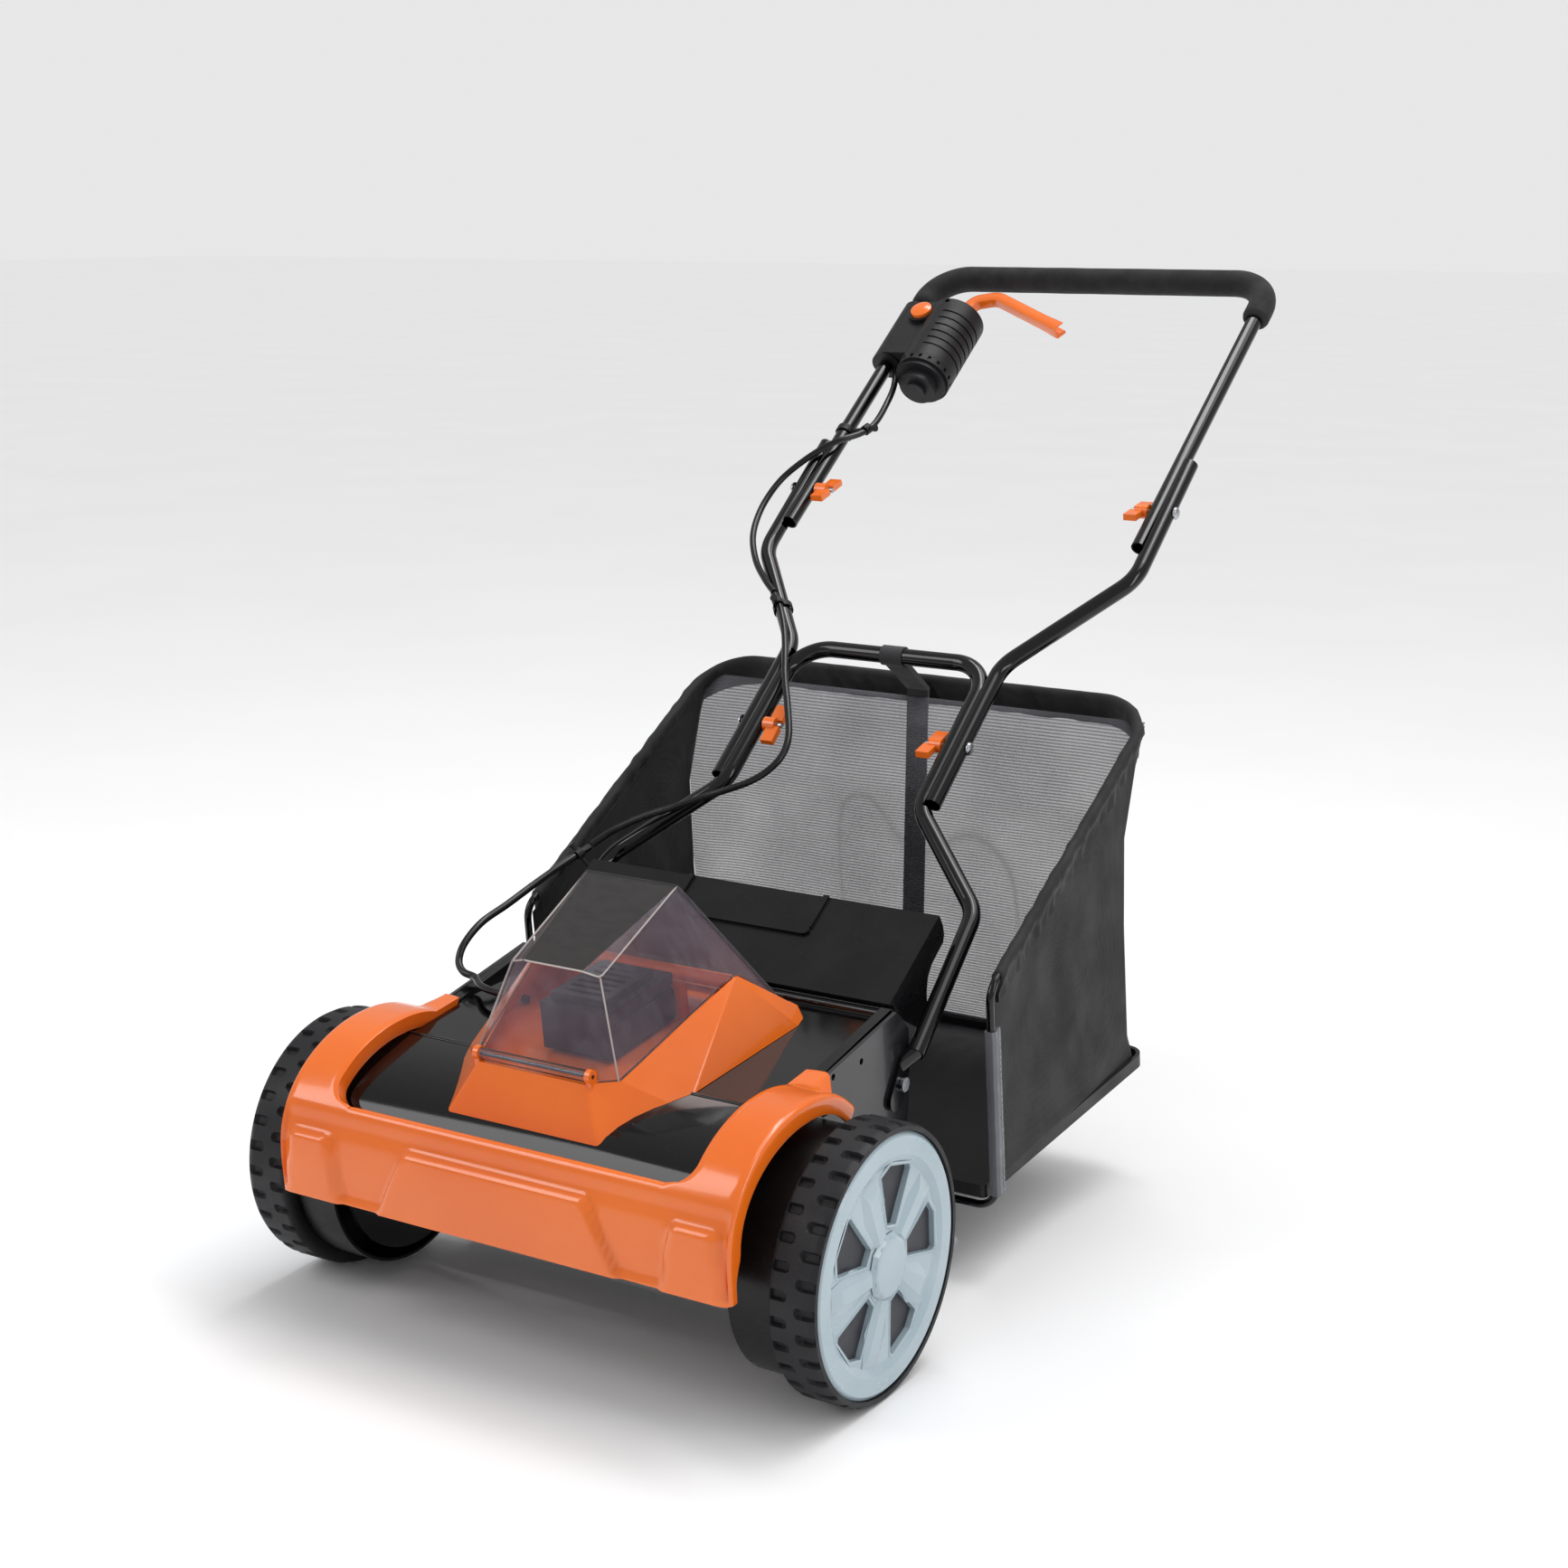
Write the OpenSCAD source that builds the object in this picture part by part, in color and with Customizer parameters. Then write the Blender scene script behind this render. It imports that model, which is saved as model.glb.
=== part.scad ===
// Battery reel mower with a folding handle and a fabric grass catcher.
// Millimetres. +X is the right-hand side seen from the front, the front faces -Y, +Z is up and
// the ground is z = 0. The modules are written with the wheel axis at y = 0, and `placed` moves
// them so that the origin is under the middle of the whole machine.

/* [Wheels] */
// Outer radius of the tyres
wheel_r = 125; // [123:1:127]
// Width of a tyre
tyre_w = 46.5; // [44:0.5:48]
// Half the distance between the tyres' outer faces
track_x = 316; // [315:0.5:318]
// Grip notches in each row of a tyre
notch_count = 32; // [24:1:36]
// Radius of the side drums that stand inside the wheels
drum_r = 112; // [108:1:114]

/* [Cutting reel] */
// Radius of the cutting circle
reel_r = 55; // [52:0.5:55]
// Number of helical blades
blade_count = 5; // [4:1:6]
// Twist of a blade from one end to the other
blade_twist = 70; // [40:5:90]
// Radius of the rear roller
roller_r = 22; // [20:0.5:22]

/* [Handle] */
// Outer radius of the handle tubes
tube_r = 9; // [8.5:0.1:9.5]
// Wall of the handle tubes
tube_wall = 1.5; // [1:0.1:2]
// Outer radius of the foam grip
grip_r = 15.5; // [14:0.5:17]
// Slope of the middle handle section
mid_slope = 39; // [38:0.5:40]
// Slope of the upper handle section
upper_slope = 37; // [36:0.5:38]

/* [Catcher] */
// Half the width of the catcher's wire frame
catcher_x = 275; // [270:1:280]
// Radius of the catcher's wire
wire_r = 4; // [3.5:0.1:4.5]

/* [Hidden] */
$fn = 64;

orange = [0.89, 0.36, 0.11];
black = [0.07, 0.07, 0.08];
rubber = [0.14, 0.14, 0.15];
cap_grey = [0.76, 0.83, 0.86];
dark_grey = [0.25, 0.25, 0.27];
steel = [0.72, 0.73, 0.75];
smoke = [0.35, 0.32, 0.32];
mesh_grey = [0.3, 0.3, 0.32];

// Clearances
run_gap = 0.05;
part_gap = 0.3;

// Chassis
side_x = 215;
side_t = 4;
cover_x = 213;
fascia_x = 250;
window_x = 199;
sheet_t = 3;
axle_z = wheel_r;
axle_r = 7;
reel_y = 40;
reel_z = 85;
motor_y = 15;
motor_z = 198;
belt_x = 231;
belt_w = 9;
reel_pulley_r = 27;
motor_pulley_r = 9;
drum_in = 222;
drum_out = 268;
roller_y = 285;
carrier_y = 185;
carrier_z = 105;
crease = [-20, 252];
deck_rear = [189, 279];
ear_y = 58;
hole_y = [68, 118];
hole_z = 259;
plate_slope = 33.6;
plate_len = 121;
plate_x = 206;

// Handle joints: the bolts' axes and the flats where two tubes lie against each other
low_bolt = [472, 477.5];
bolt_step = 351.3;
top_bolt = [low_bolt[0] + bolt_step * cos(mid_slope), low_bolt[1] + bolt_step * sin(mid_slope)];
low_x = 118;
low_flat = 123.5;
flat_end = 105;
mid_in_x = 129;
mid_out_x = 231;
top_x = 219.5;
top_flat = 225.25;
bolt_r = 3;
grip_y = 389.4;
grip_bend = 46;

// The machine reaches from the fascia to the grip: half of that puts the origin in the middle.
front_y = -151;
back_y = top_bolt[0] + grip_y * cos(upper_slope) + grip_r;
axle_y = -(front_y + back_y) / 2;

// Battery housing and lid
hinge_y = -85;
hinge_z = 276;
pin_r = 2;
rim = [[-130, 269], [-64, 269], [66, 329], [76, 332], [86, 331], [96, 326], [150, 290], [200, 282]];

// ---------------------------------------------------------------- helpers

module placed() { translate([0, axle_y, 0]) children(); }

module both_sides() {
    children();
    mirror([1, 0, 0]) children();
}

module on_side(side) {
    if (side > 0) children();
    else mirror([1, 0, 0]) children();
}

// A profile drawn with its x as +Y and its y as +Z, extruded from x = x0 to x = x1
module across(x0, x1) {
    translate([x0, 0, 0]) rotate([90, 0, 90]) linear_extrude(x1 - x0) children();
}

// Things that turn about +X, drawn along +Z
module x_axis(y, z, x0 = 0) { translate([x0, y, z]) rotate([0, 90, 0]) children(); }

module rod_x(y, z, x0, x1, r) { x_axis(y, z, x0) cylinder(r = r, h = x1 - x0); }

function unit(v) = v / norm(v);
function corner_turn(p, i) = acos(unit(p[i] - p[i - 1]) * unit(p[i + 1] - p[i]));
// One bend radius for every corner, or a list with one for each point
function bend_at(bend, i) = is_list(bend) ? bend[i] : bend;
function inset(p, i, bend) =
    (i == 0 || i == len(p) - 1) ? 0 : bend_at(bend, i) * tan(corner_turn(p, i) / 2);

// Puts local +Z along d with its start at p
module along(p, d) {
    z = unit(d);
    side = unit(cross(abs(z[2]) > 0.9 ? [0, 1, 0] : [0, 0, 1], z));
    up = cross(z, side);
    multmatrix([
        [side[0], up[0], z[0], p[0]],
        [side[1], up[1], z[1], p[1]],
        [side[2], up[2], z[2], p[2]],
        [0, 0, 0, 1]
    ]) children();
}

// A round bar that follows straight stretches joined by bends of one radius. A hair's breadth at
// each end of a straight stretch keeps it a solid of its own beside the bend.
seam = 0.01;
module bent_bar(p, bend, r) {
    for (i = [0 : len(p) - 2]) {
        d = unit(p[i + 1] - p[i]);
        length = norm(p[i + 1] - p[i]) - inset(p, i, bend) - inset(p, i + 1, bend);
        along(p[i] + d * (inset(p, i, bend) + seam), d) cylinder(r = r, h = length - 2 * seam);
    }
    for (i = [1 : len(p) - 2]) {
        d0 = unit(p[i] - p[i - 1]);
        d1 = unit(p[i + 1] - p[i]);
        n = unit(cross(d0, d1));
        u = cross(n, d0);
        c = p[i] - d0 * inset(p, i, bend) + u * bend_at(bend, i);
        multmatrix([
            [-u[0], d0[0], n[0], c[0]],
            [-u[1], d0[1], n[1], c[1]],
            [-u[2], d0[2], n[2], c[2]],
            [0, 0, 0, 1]
        ]) rotate_extrude(angle = corner_turn(p, i)) translate([bend_at(bend, i), 0]) circle(r = r);
    }
}

module bent_tube(p, bend, r, wall) {
    difference() {
        bent_bar(p, bend, r);
        bent_bar(p, bend, r - wall);
    }
}

// A smooth curve through hand-picked points, and a round cord swept along it
function spline_point(a, b, c, d, t) =
    0.5 * ((2 * b) + (c - a) * t + (2 * a - 5 * b + 4 * c - d) * t * t
    + (3 * b - a - 3 * c + d) * t * t * t);
function spline(p, steps) = [
    for (i = [0 : len(p) - 2]) for (s = [0 : steps - 1])
        spline_point(p[max(i - 1, 0)], p[i], p[i + 1], p[min(i + 2, len(p) - 1)], s / steps),
    p[len(p) - 1]
];
module cord(p, r, ref, steps = 3, sides = 8) {
    q = spline(p, steps);
    n = len(q);
    rings = [for (i = [0 : n - 1])
        let (t = unit(q[min(i + 1, n - 1)] - q[max(i - 1, 0)]),
             u = unit(cross(t, ref)), v = cross(t, u))
        for (k = [0 : sides - 1])
            q[i] + r * (cos(360 * k / sides) * u + sin(360 * k / sides) * v)];
    walls = [for (i = [0 : n - 2]) for (k = [0 : sides - 1])
        [i * sides + k, i * sides + (k + 1) % sides,
         (i + 1) * sides + (k + 1) % sides, (i + 1) * sides + k]];
    start = [[for (k = [0 : sides - 1]) sides - 1 - k]];
    end = [[for (k = [0 : sides - 1]) (n - 1) * sides + k]];
    polyhedron(rings, concat(start, walls, end));
}

// Local frames of the handle's sections: x across, y up the tubes, z out of the handle's plane
module mid_frame() { translate([0, low_bolt[0], low_bolt[1]]) rotate([mid_slope, 0, 0]) children(); }
module top_frame() { translate([0, top_bolt[0], top_bolt[1]]) rotate([upper_slope, 0, 0]) children(); }
module plate_frame() { translate([0, deck_rear[0], deck_rear[1] + 6]) rotate([plate_slope, 0, 0]) children(); }

// ---------------------------------------------------------------- chassis

function bezier(p, t) =
    len(p) == 1 ? p[0]
    : bezier([for (i = [0 : len(p) - 2]) p[i] * (1 - t) + p[i + 1] * t], t);
function curve(p, n) = [for (i = [0 : n]) bezier(p, i / n)];

fascia_face = concat(
    [[-148, 127], [-151, 160]],
    curve([[-151, 172], [-150, 222], [-104, 262], [-40, 269]], 8),
    curve([[-22, 270], [18, 270], [36, 258], [56, 242]], 5)
);
fascia_back = [
    [51, 234], [32, 246], [8, 254], [-25, 259], [-61, 252], [-98, 238],
    [-122, 216], [-138, 190], [-143, 160], [-141, 127]
];
cover_top = concat([[-122, 199]], curve([[-117, 209], [-100, 234], [-60, 246], [-20, 252]], 7));

module fascia_cut() {
    across(-window_x, window_x)
        polygon([[-128, 217], [-113, 205], [-60, 205], [120, 205], [120, 320], [-140, 320], [-140, 228]]);
}
module raised_panel(half_low, half_top, z_top, proud) {
    translate([0, -149, 0]) rotate([90, 0, 0]) hull() {
        linear_extrude(1)
            polygon([[-half_low, 127], [half_low, 127], [half_top, z_top], [-half_top, z_top]]);
        linear_extrude(proud)
            polygon([[-half_low + 5, 127], [half_low - 5, 127], [half_top - 5, z_top - 6],
                     [-half_top + 5, z_top - 6]]);
    }
}
module front_fascia() {
    color(orange) placed() difference() {
        union() {
            difference() {
                across(-fascia_x, fascia_x) polygon(concat(fascia_face, fascia_back));
                fascia_cut();
            }
            raised_panel(137, 102, 193, 2);
            both_sides() {
                translate([207, 0, 0]) raised_panel(36, 24, 190, 2);
                // skirt outside the drum
                across(fascia_x - 5, fascia_x)
                    polygon(concat([for (p = fascia_face) if (p[1] > 150) p],
                        [[52, 232], [38, 239], [8, 249], [-25, 251], [-61, 246], [-99, 233],
                         [-125, 211], [-140, 187], [-145, 160]]));
            }
        }
        both_sides() rod_x(44, 243, fascia_x - 8, fascia_x + 1, 2);
    }
}

module reel_cover() {
    inner = [for (i = [len(cover_top) - 1 : -1 : 0]) cover_top[i] + [2, -sheet_t]];
    color(black) placed() across(-cover_x, cover_x) polygon(concat(cover_top, inner));
}

module rear_deck() {
    color(black) placed() difference() {
        union() {
            across(-cover_x, cover_x) polygon([
                crease + [2.2, 0], deck_rear, deck_rear - [0, sheet_t], crease + [2.2, -sheet_t]
            ]);
            rod_x(deck_rear[0] + 5, deck_rear[1], -cover_x, cover_x, 6);
            both_sides() across(cover_x - 11, cover_x)
                polygon([[40, 259], [183, 290], deck_rear - [2, 0], deck_rear - [2, 2], [40, 257]]);
        }
        // notches for the ends of the fascia
        both_sides() translate([window_x - 1.5, -30, 200]) cube([30, 30 + ear_y + 1, 100]);
    }
}

module side_plate(side) {
    color(black) placed() on_side(side) difference() {
        union() {
            rod_x(0, axle_z, side_x, side_x + side_t, 97);
            rod_x(carrier_y, carrier_z, side_x, side_x + side_t, 16);
            across(side_x, side_x + side_t)
                polygon([[-114, 198], [-60, 238], [-18, 247], [16, 245], [32, 239], [50, 226], [ear_y, 226],
                         [ear_y, 263], [183, 288], [206, 266],
                         [208, 196], [199, 112], [170, 96], [70, 70], [-60, 160]]);
        }
        x_axis(0, axle_z, side_x - 1) cylinder(r = axle_r + run_gap, h = side_t + 2);
        x_axis(reel_y, reel_z, side_x - 1) cylinder(r = 11, h = side_t + 2);
        x_axis(motor_y, motor_z, side_x - 1) cylinder(r = 6, h = side_t + 2);
        x_axis(carrier_y, carrier_z, side_x - 1) cylinder(r = 5 + run_gap, h = side_t + 2);
        x_axis(188, 217, side_x - 1) cylinder(r = 3 + run_gap, h = side_t + 2);
        for (y = hole_y) x_axis(y, hole_z, side_x - 1) cylinder(r = 3.2, h = side_t + 2);
    }
}

module drum_cover(side) {
    color(black) placed() on_side(side) difference() {
        x_axis(0, axle_z, 0) rotate_extrude() polygon([
            [axle_r + run_gap, drum_out], [axle_r + run_gap, drum_out - 12], [14, drum_out - 12],
            [14, drum_out - 4], [drum_r - 3, drum_out - 4], [drum_r - 3, drum_in],
            [drum_r, drum_in], [drum_r, drum_out - 3], [drum_r - 3, drum_out]
        ]);
    }
}

// ---------------------------------------------------------------- battery bay

module above_rim(gap) {
    across(-200, 200) polygon(concat([for (p = rim) p + [0, gap]], [[200, 500], [-130, 500]]));
}
module housing_form(t) {
    hull() both_sides() {
        translate([82 - t, -98 + t, 218]) cylinder(r = 8, h = 1);
        translate([118 - t, -26 + t, 240]) cylinder(r = 12, h = 1);
        translate([130 - t, 150 - t, 262]) cylinder(r = 12, h = 1);
        translate([56 - t, -82 + t, 268]) cylinder(r = 7, h = 2);
        translate([73 - t, -62 + t, 268]) cylinder(r = 7, h = 2);
        translate([104 - t, 76 - t, 330]) cylinder(r = 7, h = 2);
        translate([118 - t, 154 - t, 284]) cylinder(r = 9, h = 1);
    }
}
module below_deck(gap) {
    across(-200, 200) polygon(concat(
        [[-150, 100], [-150, 160]],
        [for (p = cover_top) p + [0, gap]],
        [deck_rear + [0, gap], [260, 282], [260, 100]]));
}
module battery_housing() {
    $fn = 32;
    color(orange) placed() difference() {
        union() {
            difference() {
                housing_form(0);
                difference() {
                    housing_form(3.5);
                    // floor of the bay
                    across(-150, 150) polygon([[-120, 100], [-120, 236], [-20, 262], [190, 288], [190, 100]]);
                }
                above_rim(0);
            }
            both_sides() rod_x(hinge_y, hinge_z, 59.5, 65, 6.5);
            both_sides() translate([59.5, hinge_y - 3, 262]) cube([5.5, 8, 12]);
        }
        below_deck(0.3);
        rod_x(hinge_y, hinge_z, -80, 80, pin_r + run_gap);
        // cable entry
        rod_x(60, 277, -150, -100, cable_r + 0.8);
    }
}
module battery_terminal() {
    color(orange) placed() translate([-42, 88, 276]) rotate([7, 0, 0]) difference() {
        cube([84, 12, 34]);
        for (x = [14 : 14 : 70]) translate([x - 2, -1, 6]) cube([4, 7, 20]);
    }
}
module battery_pack() {
    color(black) placed() translate([0, -20, 266.5]) rotate([7, 0, 0]) difference() {
        union() {
            translate([-38, 0, 0]) cube([76, 104, 46]);
            translate([-30, 8, 46]) cube([60, 80, 8]);
        }
        for (x = [-39, 35.5]) translate([x, 10, 30]) cube([3.5, 100, 5]);
        for (y = [16 : 11 : 71]) translate([-22, y, 51]) cube([44, 5, 4]);
    }
}
module lid_form(t) {
    hull() both_sides() {
        translate([60 - t, -85 + t, 269]) cube([1, 1, 1]);
        translate([79 - t, -66 + t, 269]) cube([1, 1, 1]);
        translate([33 - t, -56 + t, 360 - t]) cube([1, 1, 1]);
        translate([49 - t, -50 + t, 355 - t]) cube([1, 1, 1]);
        translate([51 - t, 68 - t, 412 - t]) cube([1, 1, 1]);
        translate([110 - t, 78 - t, 326]) cube([1, 1, 1]);
        translate([113 - t, 150 - t, 289]) cube([1, 1, 1]);
    }
}
module battery_lid() {
    color(smoke) placed() {
        difference() {
            union() {
                intersection() {
                    difference() {
                        lid_form(0);
                        lid_form(2.5);
                    }
                    above_rim(0.5);
                }
                rod_x(hinge_y, hinge_z, -59, 59, 5.2);
            }
            rod_x(hinge_y, hinge_z, -80, 80, pin_r + run_gap);
            // room for the hinge ears
            both_sides() translate([59, hinge_y - 12, 260]) cube([7, 20, 24]);
        }
    }
}
module hinge_pin() {
    color(dark_grey) placed() rod_x(hinge_y, hinge_z, -65, 65, pin_r);
}
module lid_latch() {
    // strip along the rear edge of the lid, with a finger lip below
    color(black) placed() translate([0, 70, 412]) rotate([-55.5, 0, 0]) difference() {
        translate([-44, 4, 1]) cube([88, 112, 3]);
        for (y = [14 : 6 : 110]) translate([-45, y, 3]) cube([90, 2, 3]);
    }
}

// ---------------------------------------------------------------- drive and cutting parts

module motor() {
    color(dark_grey) placed() {
        rod_x(motor_y, motor_z, 110, 211, 26);
        rod_x(motor_y, motor_z, 104, 110, 10);
        rod_x(motor_y, motor_z, 211, side_x, 14);
    }
}
module stub_axles() {
    color(steel) placed() both_sides() {
        rod_x(0, axle_z, side_x, 298, axle_r);
        rod_x(0, axle_z, 208, side_x, 13);
        rod_x(0, axle_z, 298, 302, 12);
    }
}
module motor_pulley() {
    color(steel) placed() {
        rod_x(motor_y, motor_z, side_x + 0.3, belt_x + belt_w, 4);
        rod_x(motor_y, motor_z, belt_x, belt_x + belt_w, motor_pulley_r);
    }
}
module reel_pulley() {
    color(dark_grey) placed() difference() {
        rod_x(reel_y, reel_z, belt_x, belt_x + belt_w, reel_pulley_r);
        rod_x(reel_y, reel_z, belt_x - 1, belt_x + belt_w + 1, 6);
    }
}
module drive_belt() {
    gap = 0.4;
    color(black) placed() across(belt_x + 1, belt_x + belt_w - 1) difference() {
        hull() {
            translate([motor_y, motor_z]) circle(r = motor_pulley_r + 2.4);
            translate([reel_y, reel_z]) circle(r = reel_pulley_r + 2.4);
        }
        hull() {
            translate([motor_y, motor_z]) circle(r = motor_pulley_r + gap);
            translate([reel_y, reel_z]) circle(r = reel_pulley_r + gap);
        }
    }
}
module reel_bushes() {
    color(steel) placed() both_sides() x_axis(reel_y, reel_z, side_x - 5) difference() {
        union() {
            cylinder(r = 11, h = 10);
            cylinder(r = 15, h = 5);
        }
        translate([0, 0, -1]) cylinder(r = 6 + run_gap, h = 12);
    }
}
module reel_shaft() {
    color(steel) placed() rod_x(reel_y, reel_z, -226, 244, 6);
}
module reel_spiders() {
    color(dark_grey) placed() for (x = [-204, -103, -2, 99, 200]) x_axis(reel_y, reel_z, x)
        difference() {
            union() {
                cylinder(r = 14, h = 4);
                for (k = [0 : blade_count - 1])
                    rotate([0, 0, 360 * k / blade_count - blade_twist * (x + 204) / 408])
                        translate([10, -5, 0]) cube([36, 10, 4]);
            }
            translate([0, 0, -1]) cylinder(r = 6, h = 6);
        }
}
module reel_blades() {
    color(steel) placed() x_axis(reel_y, reel_z, -206)
        for (k = [0 : blade_count - 1]) rotate([0, 0, 360 * k / blade_count])
            linear_extrude(412, twist = blade_twist, slices = 16, $fn = 4)
                polygon([[42, -2], [reel_r, -2], [reel_r - 0.1, 1.5], [42, 1.5]]);
}
module bed_knife() {
    color(steel) placed() across(-206, 206) polygon([[39, 26], [82, 26], [82, 28.8], [42, 28.8]]);
}
module bed_bar() {
    color(dark_grey) placed() across(-side_x, side_x)
        polygon([[82.2, 26], [100, 26], [100, 48], [96, 48], [96, 30], [82.2, 30]]);
}

// ---------------------------------------------------------------- rear deflector and roller

module deflector() {
    color(black) placed() plate_frame() {
        translate([-plate_x, 6, 0]) cube([2 * plate_x, plate_len - 6, sheet_t]);
        // pressed rib: down from the top edge and across
        both_sides() translate([77, plate_len - 42, sheet_t]) cube([6, 42, 3]);
        translate([-77, plate_len - 52, sheet_t]) cube([154, 6, 3]);
        both_sides() translate([77, plate_len - 46, sheet_t]) intersection() {
            cylinder(r = 6, h = 3);
            translate([0, -6, 0]) cube([6, 12, 3]);
        }
        // folded side flanges
        both_sides() translate([plate_x - 3, 0, 0]) rotate([90, 0, 90]) linear_extrude(3)
            polygon([[12, 0], [plate_len, 0], [plate_len, -10], [118, -20], [112, -26], [100, -26],
                     [84, -27], [72, -32], [63, -42], [54, -58], [34, -64], [16, -30]]);
    }
}
module roller_arms() {
    color(dark_grey) placed() both_sides() difference() {
        across(side_x + side_t + 0.6, side_x + side_t + 5.6) hull() {
            translate([carrier_y, carrier_z]) circle(r = 12);
            translate([roller_y, roller_r]) circle(r = 11);
        }
        rod_x(carrier_y, carrier_z, 200, 260, 5 + run_gap);
        rod_x(roller_y, roller_r, 200, 260, 5);
    }
}
module roller_rod() {
    color(steel) placed() {
        rod_x(roller_y, roller_r, -228, 228, 5);
        both_sides() rod_x(roller_y, roller_r, 224.7, 229, 8);
    }
}
module rear_roller() {
    color(rubber) placed() difference() {
        rod_x(roller_y, roller_r, -214, 214, roller_r);
        rod_x(roller_y, roller_r, -220, 220, 5 + run_gap);
        for (x = [-160 : 80 : 160]) x_axis(roller_y, roller_r, x) difference() {
            translate([0, 0, -2]) cylinder(r = roller_r + 1, h = 4);
            translate([0, 0, -3]) cylinder(r = roller_r - 2, h = 6);
        }
    }
}
module frame_screws() {
    color(steel) placed() both_sides() {
        // shoulder bolts of the roller arms
        rod_x(carrier_y, carrier_z, side_x, 225.2, 5);
        rod_x(carrier_y, carrier_z, 225.2, 229, 9);
        // screws of the handle's flattened ends
        rod_x(188, 217, side_x - 4, 225, 3);
        rod_x(188, 217, 223.6, 227, 7);
    }
}

// ---------------------------------------------------------------- wheels

tyre_in = track_x - tyre_w;
module tyre(side) {
    pitch = 360 / notch_count;
    color(rubber) placed() on_side(side) difference() {
        x_axis(0, axle_z) rotate_extrude($fn = 128) polygon([
            [105, tyre_in + 3], [112, tyre_in], [122, tyre_in], [wheel_r, tyre_in + 5],
            [wheel_r, track_x - 6], [122.5, track_x], [118, track_x], [118, track_x - 12],
            [105, track_x - 14]
        ]);
        for (k = [0 : notch_count - 1]) x_axis(0, axle_z) {
            rotate([0, 0, pitch * k]) translate([wheel_r - 3.5, -4.5, track_x - 20]) cube([8, 9, 17]);
            rotate([0, 0, pitch * (k + 0.5)]) translate([wheel_r - 3.5, -4.5, tyre_in + 3]) cube([8, 9, 17]);
        }
    }
}
module wheel_core(side) {
    color(dark_grey) placed() on_side(side) x_axis(0, axle_z) rotate_extrude() polygon([
        [axle_r + run_gap, tyre_in + 2], [16, tyre_in + 2], [18, tyre_in + 20], [96, tyre_in + 20],
        [99, tyre_in + 4], [104.9, tyre_in + 4], [104.9, track_x - 14.2], [96, track_x - 14.2],
        [94, track_x - 17], [18, track_x - 17], [18, track_x - 19], [axle_r + run_gap, track_x - 19]
    ]);
}
module hub_cap(side) {
    windows = 5;
    color(cap_grey) placed() on_side(side) x_axis(0, axle_z) difference() {
        union() {
            rotate_extrude($fn = 128) polygon([
                [0, track_x - 8], [117.8, track_x - 11.8], [117.8, track_x - 3], [114, track_x],
                [98, track_x], [90, track_x - 4], [0, track_x - 1]
            ]);
            translate([0, 0, track_x - 6]) cylinder(r = 27, h = 9, $fn = 10);
        }
        for (k = [0 : windows - 1]) rotate([0, 0, 360 * (k + 0.3) / windows])
            translate([0, 0, track_x - 20]) linear_extrude(40)
                polygon([[36, -6], [36, 9], [78, 28], [88, 14], [88, -20], [84, -22]]);
        translate([0, 0, track_x - 20]) cylinder(r = 15, h = 13);
    }
}

// ---------------------------------------------------------------- handle

lower_path = [
    [230, 200, 244], [218, 338, 347],
    [low_x, low_bolt[0] - 84 * cos(mid_slope), low_bolt[1] - 84 * sin(mid_slope)],
    [low_x, low_bolt[0] + 113 * cos(mid_slope), low_bolt[1] + 113 * sin(mid_slope)]
];
function mirrored(p) = [for (i = [len(p) - 1 : -1 : 0]) [-p[i][0], p[i][1], p[i][2]]];

// Flattened end of a lower tube: a tab against the side plate that runs up into the tube
module flattened_end() {
    tab_x = side_x + side_t + 0.2;
    across(tab_x, tab_x + 4) hull() {
        translate([177, 204]) circle(r = 11);
        translate([193, 234]) circle(r = 10);
    }
    hull() {
        across(tab_x, tab_x + 4) translate([194, 237]) circle(r = 9, $fn = 24);
        along(lower_path[0] + unit(lower_path[1] - lower_path[0]) * 4, lower_path[1] - lower_path[0])
            cylinder(r = tube_r - 0.6, h = 1, $fn = 24);
    }
}
module lower_handle() {
    color(black) placed() difference() {
        union() {
            bent_tube(concat(lower_path, mirrored(lower_path)), 42, tube_r, tube_wall);
            both_sides() flattened_end();
        }
        // flats and bolt holes of the joints with the middle section
        mid_frame() both_sides() {
            translate([low_flat - 0.15, -84, -12]) cube([12, flat_end + 84, 24]);
            rod_x(0, 0, 90, 140, bolt_r + run_gap);
        }
        both_sides() rod_x(188, 217, 200, 240, 3 + run_gap);
    }
}
mid_path = [[mid_in_x, -77, 0], [mid_in_x, 113, 0], [mid_out_x, 251, 0], [mid_out_x, 426, 0]];
module mid_tube(side) {
    color(black) placed() on_side(side) mid_frame() difference() {
        bent_tube(mid_path, 55, tube_r, tube_wall);
        translate([low_flat + 0.15 - 12, -80, -12]) cube([12, flat_end + 80, 24]);
        translate([top_flat + 0.15 - 12, 286, -12]) cube([12, 150, 24]);
        rod_x(0, 0, 110, 150, bolt_r + run_gap);
        rod_x(bolt_step, 0, 210, 250, bolt_r + run_gap);
    }
}
top_path = [[top_x, -57, 0], [top_x, grip_y, 0], [-top_x, grip_y, 0], [-top_x, -57, 0]];
module upper_handle() {
    color(black) placed() top_frame() difference() {
        bent_tube(top_path, grip_bend, tube_r, tube_wall);
        both_sides() {
            translate([top_flat - 0.15, -60, -12]) cube([12, 140, 24]);
            rod_x(0, 0, 200, 240, bolt_r + run_gap);
        }
    }
}
grip_path = [[top_x, 322, 0], [top_x, grip_y, 0], [-top_x, grip_y, 0], [-top_x, 332, 0]];
module foam_grip() {
    color(black) placed() top_frame()
        difference() {
            bent_bar(grip_path, grip_bend, grip_r);
            bent_bar(grip_path, grip_bend, tube_r + run_gap);
        }
}

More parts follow.
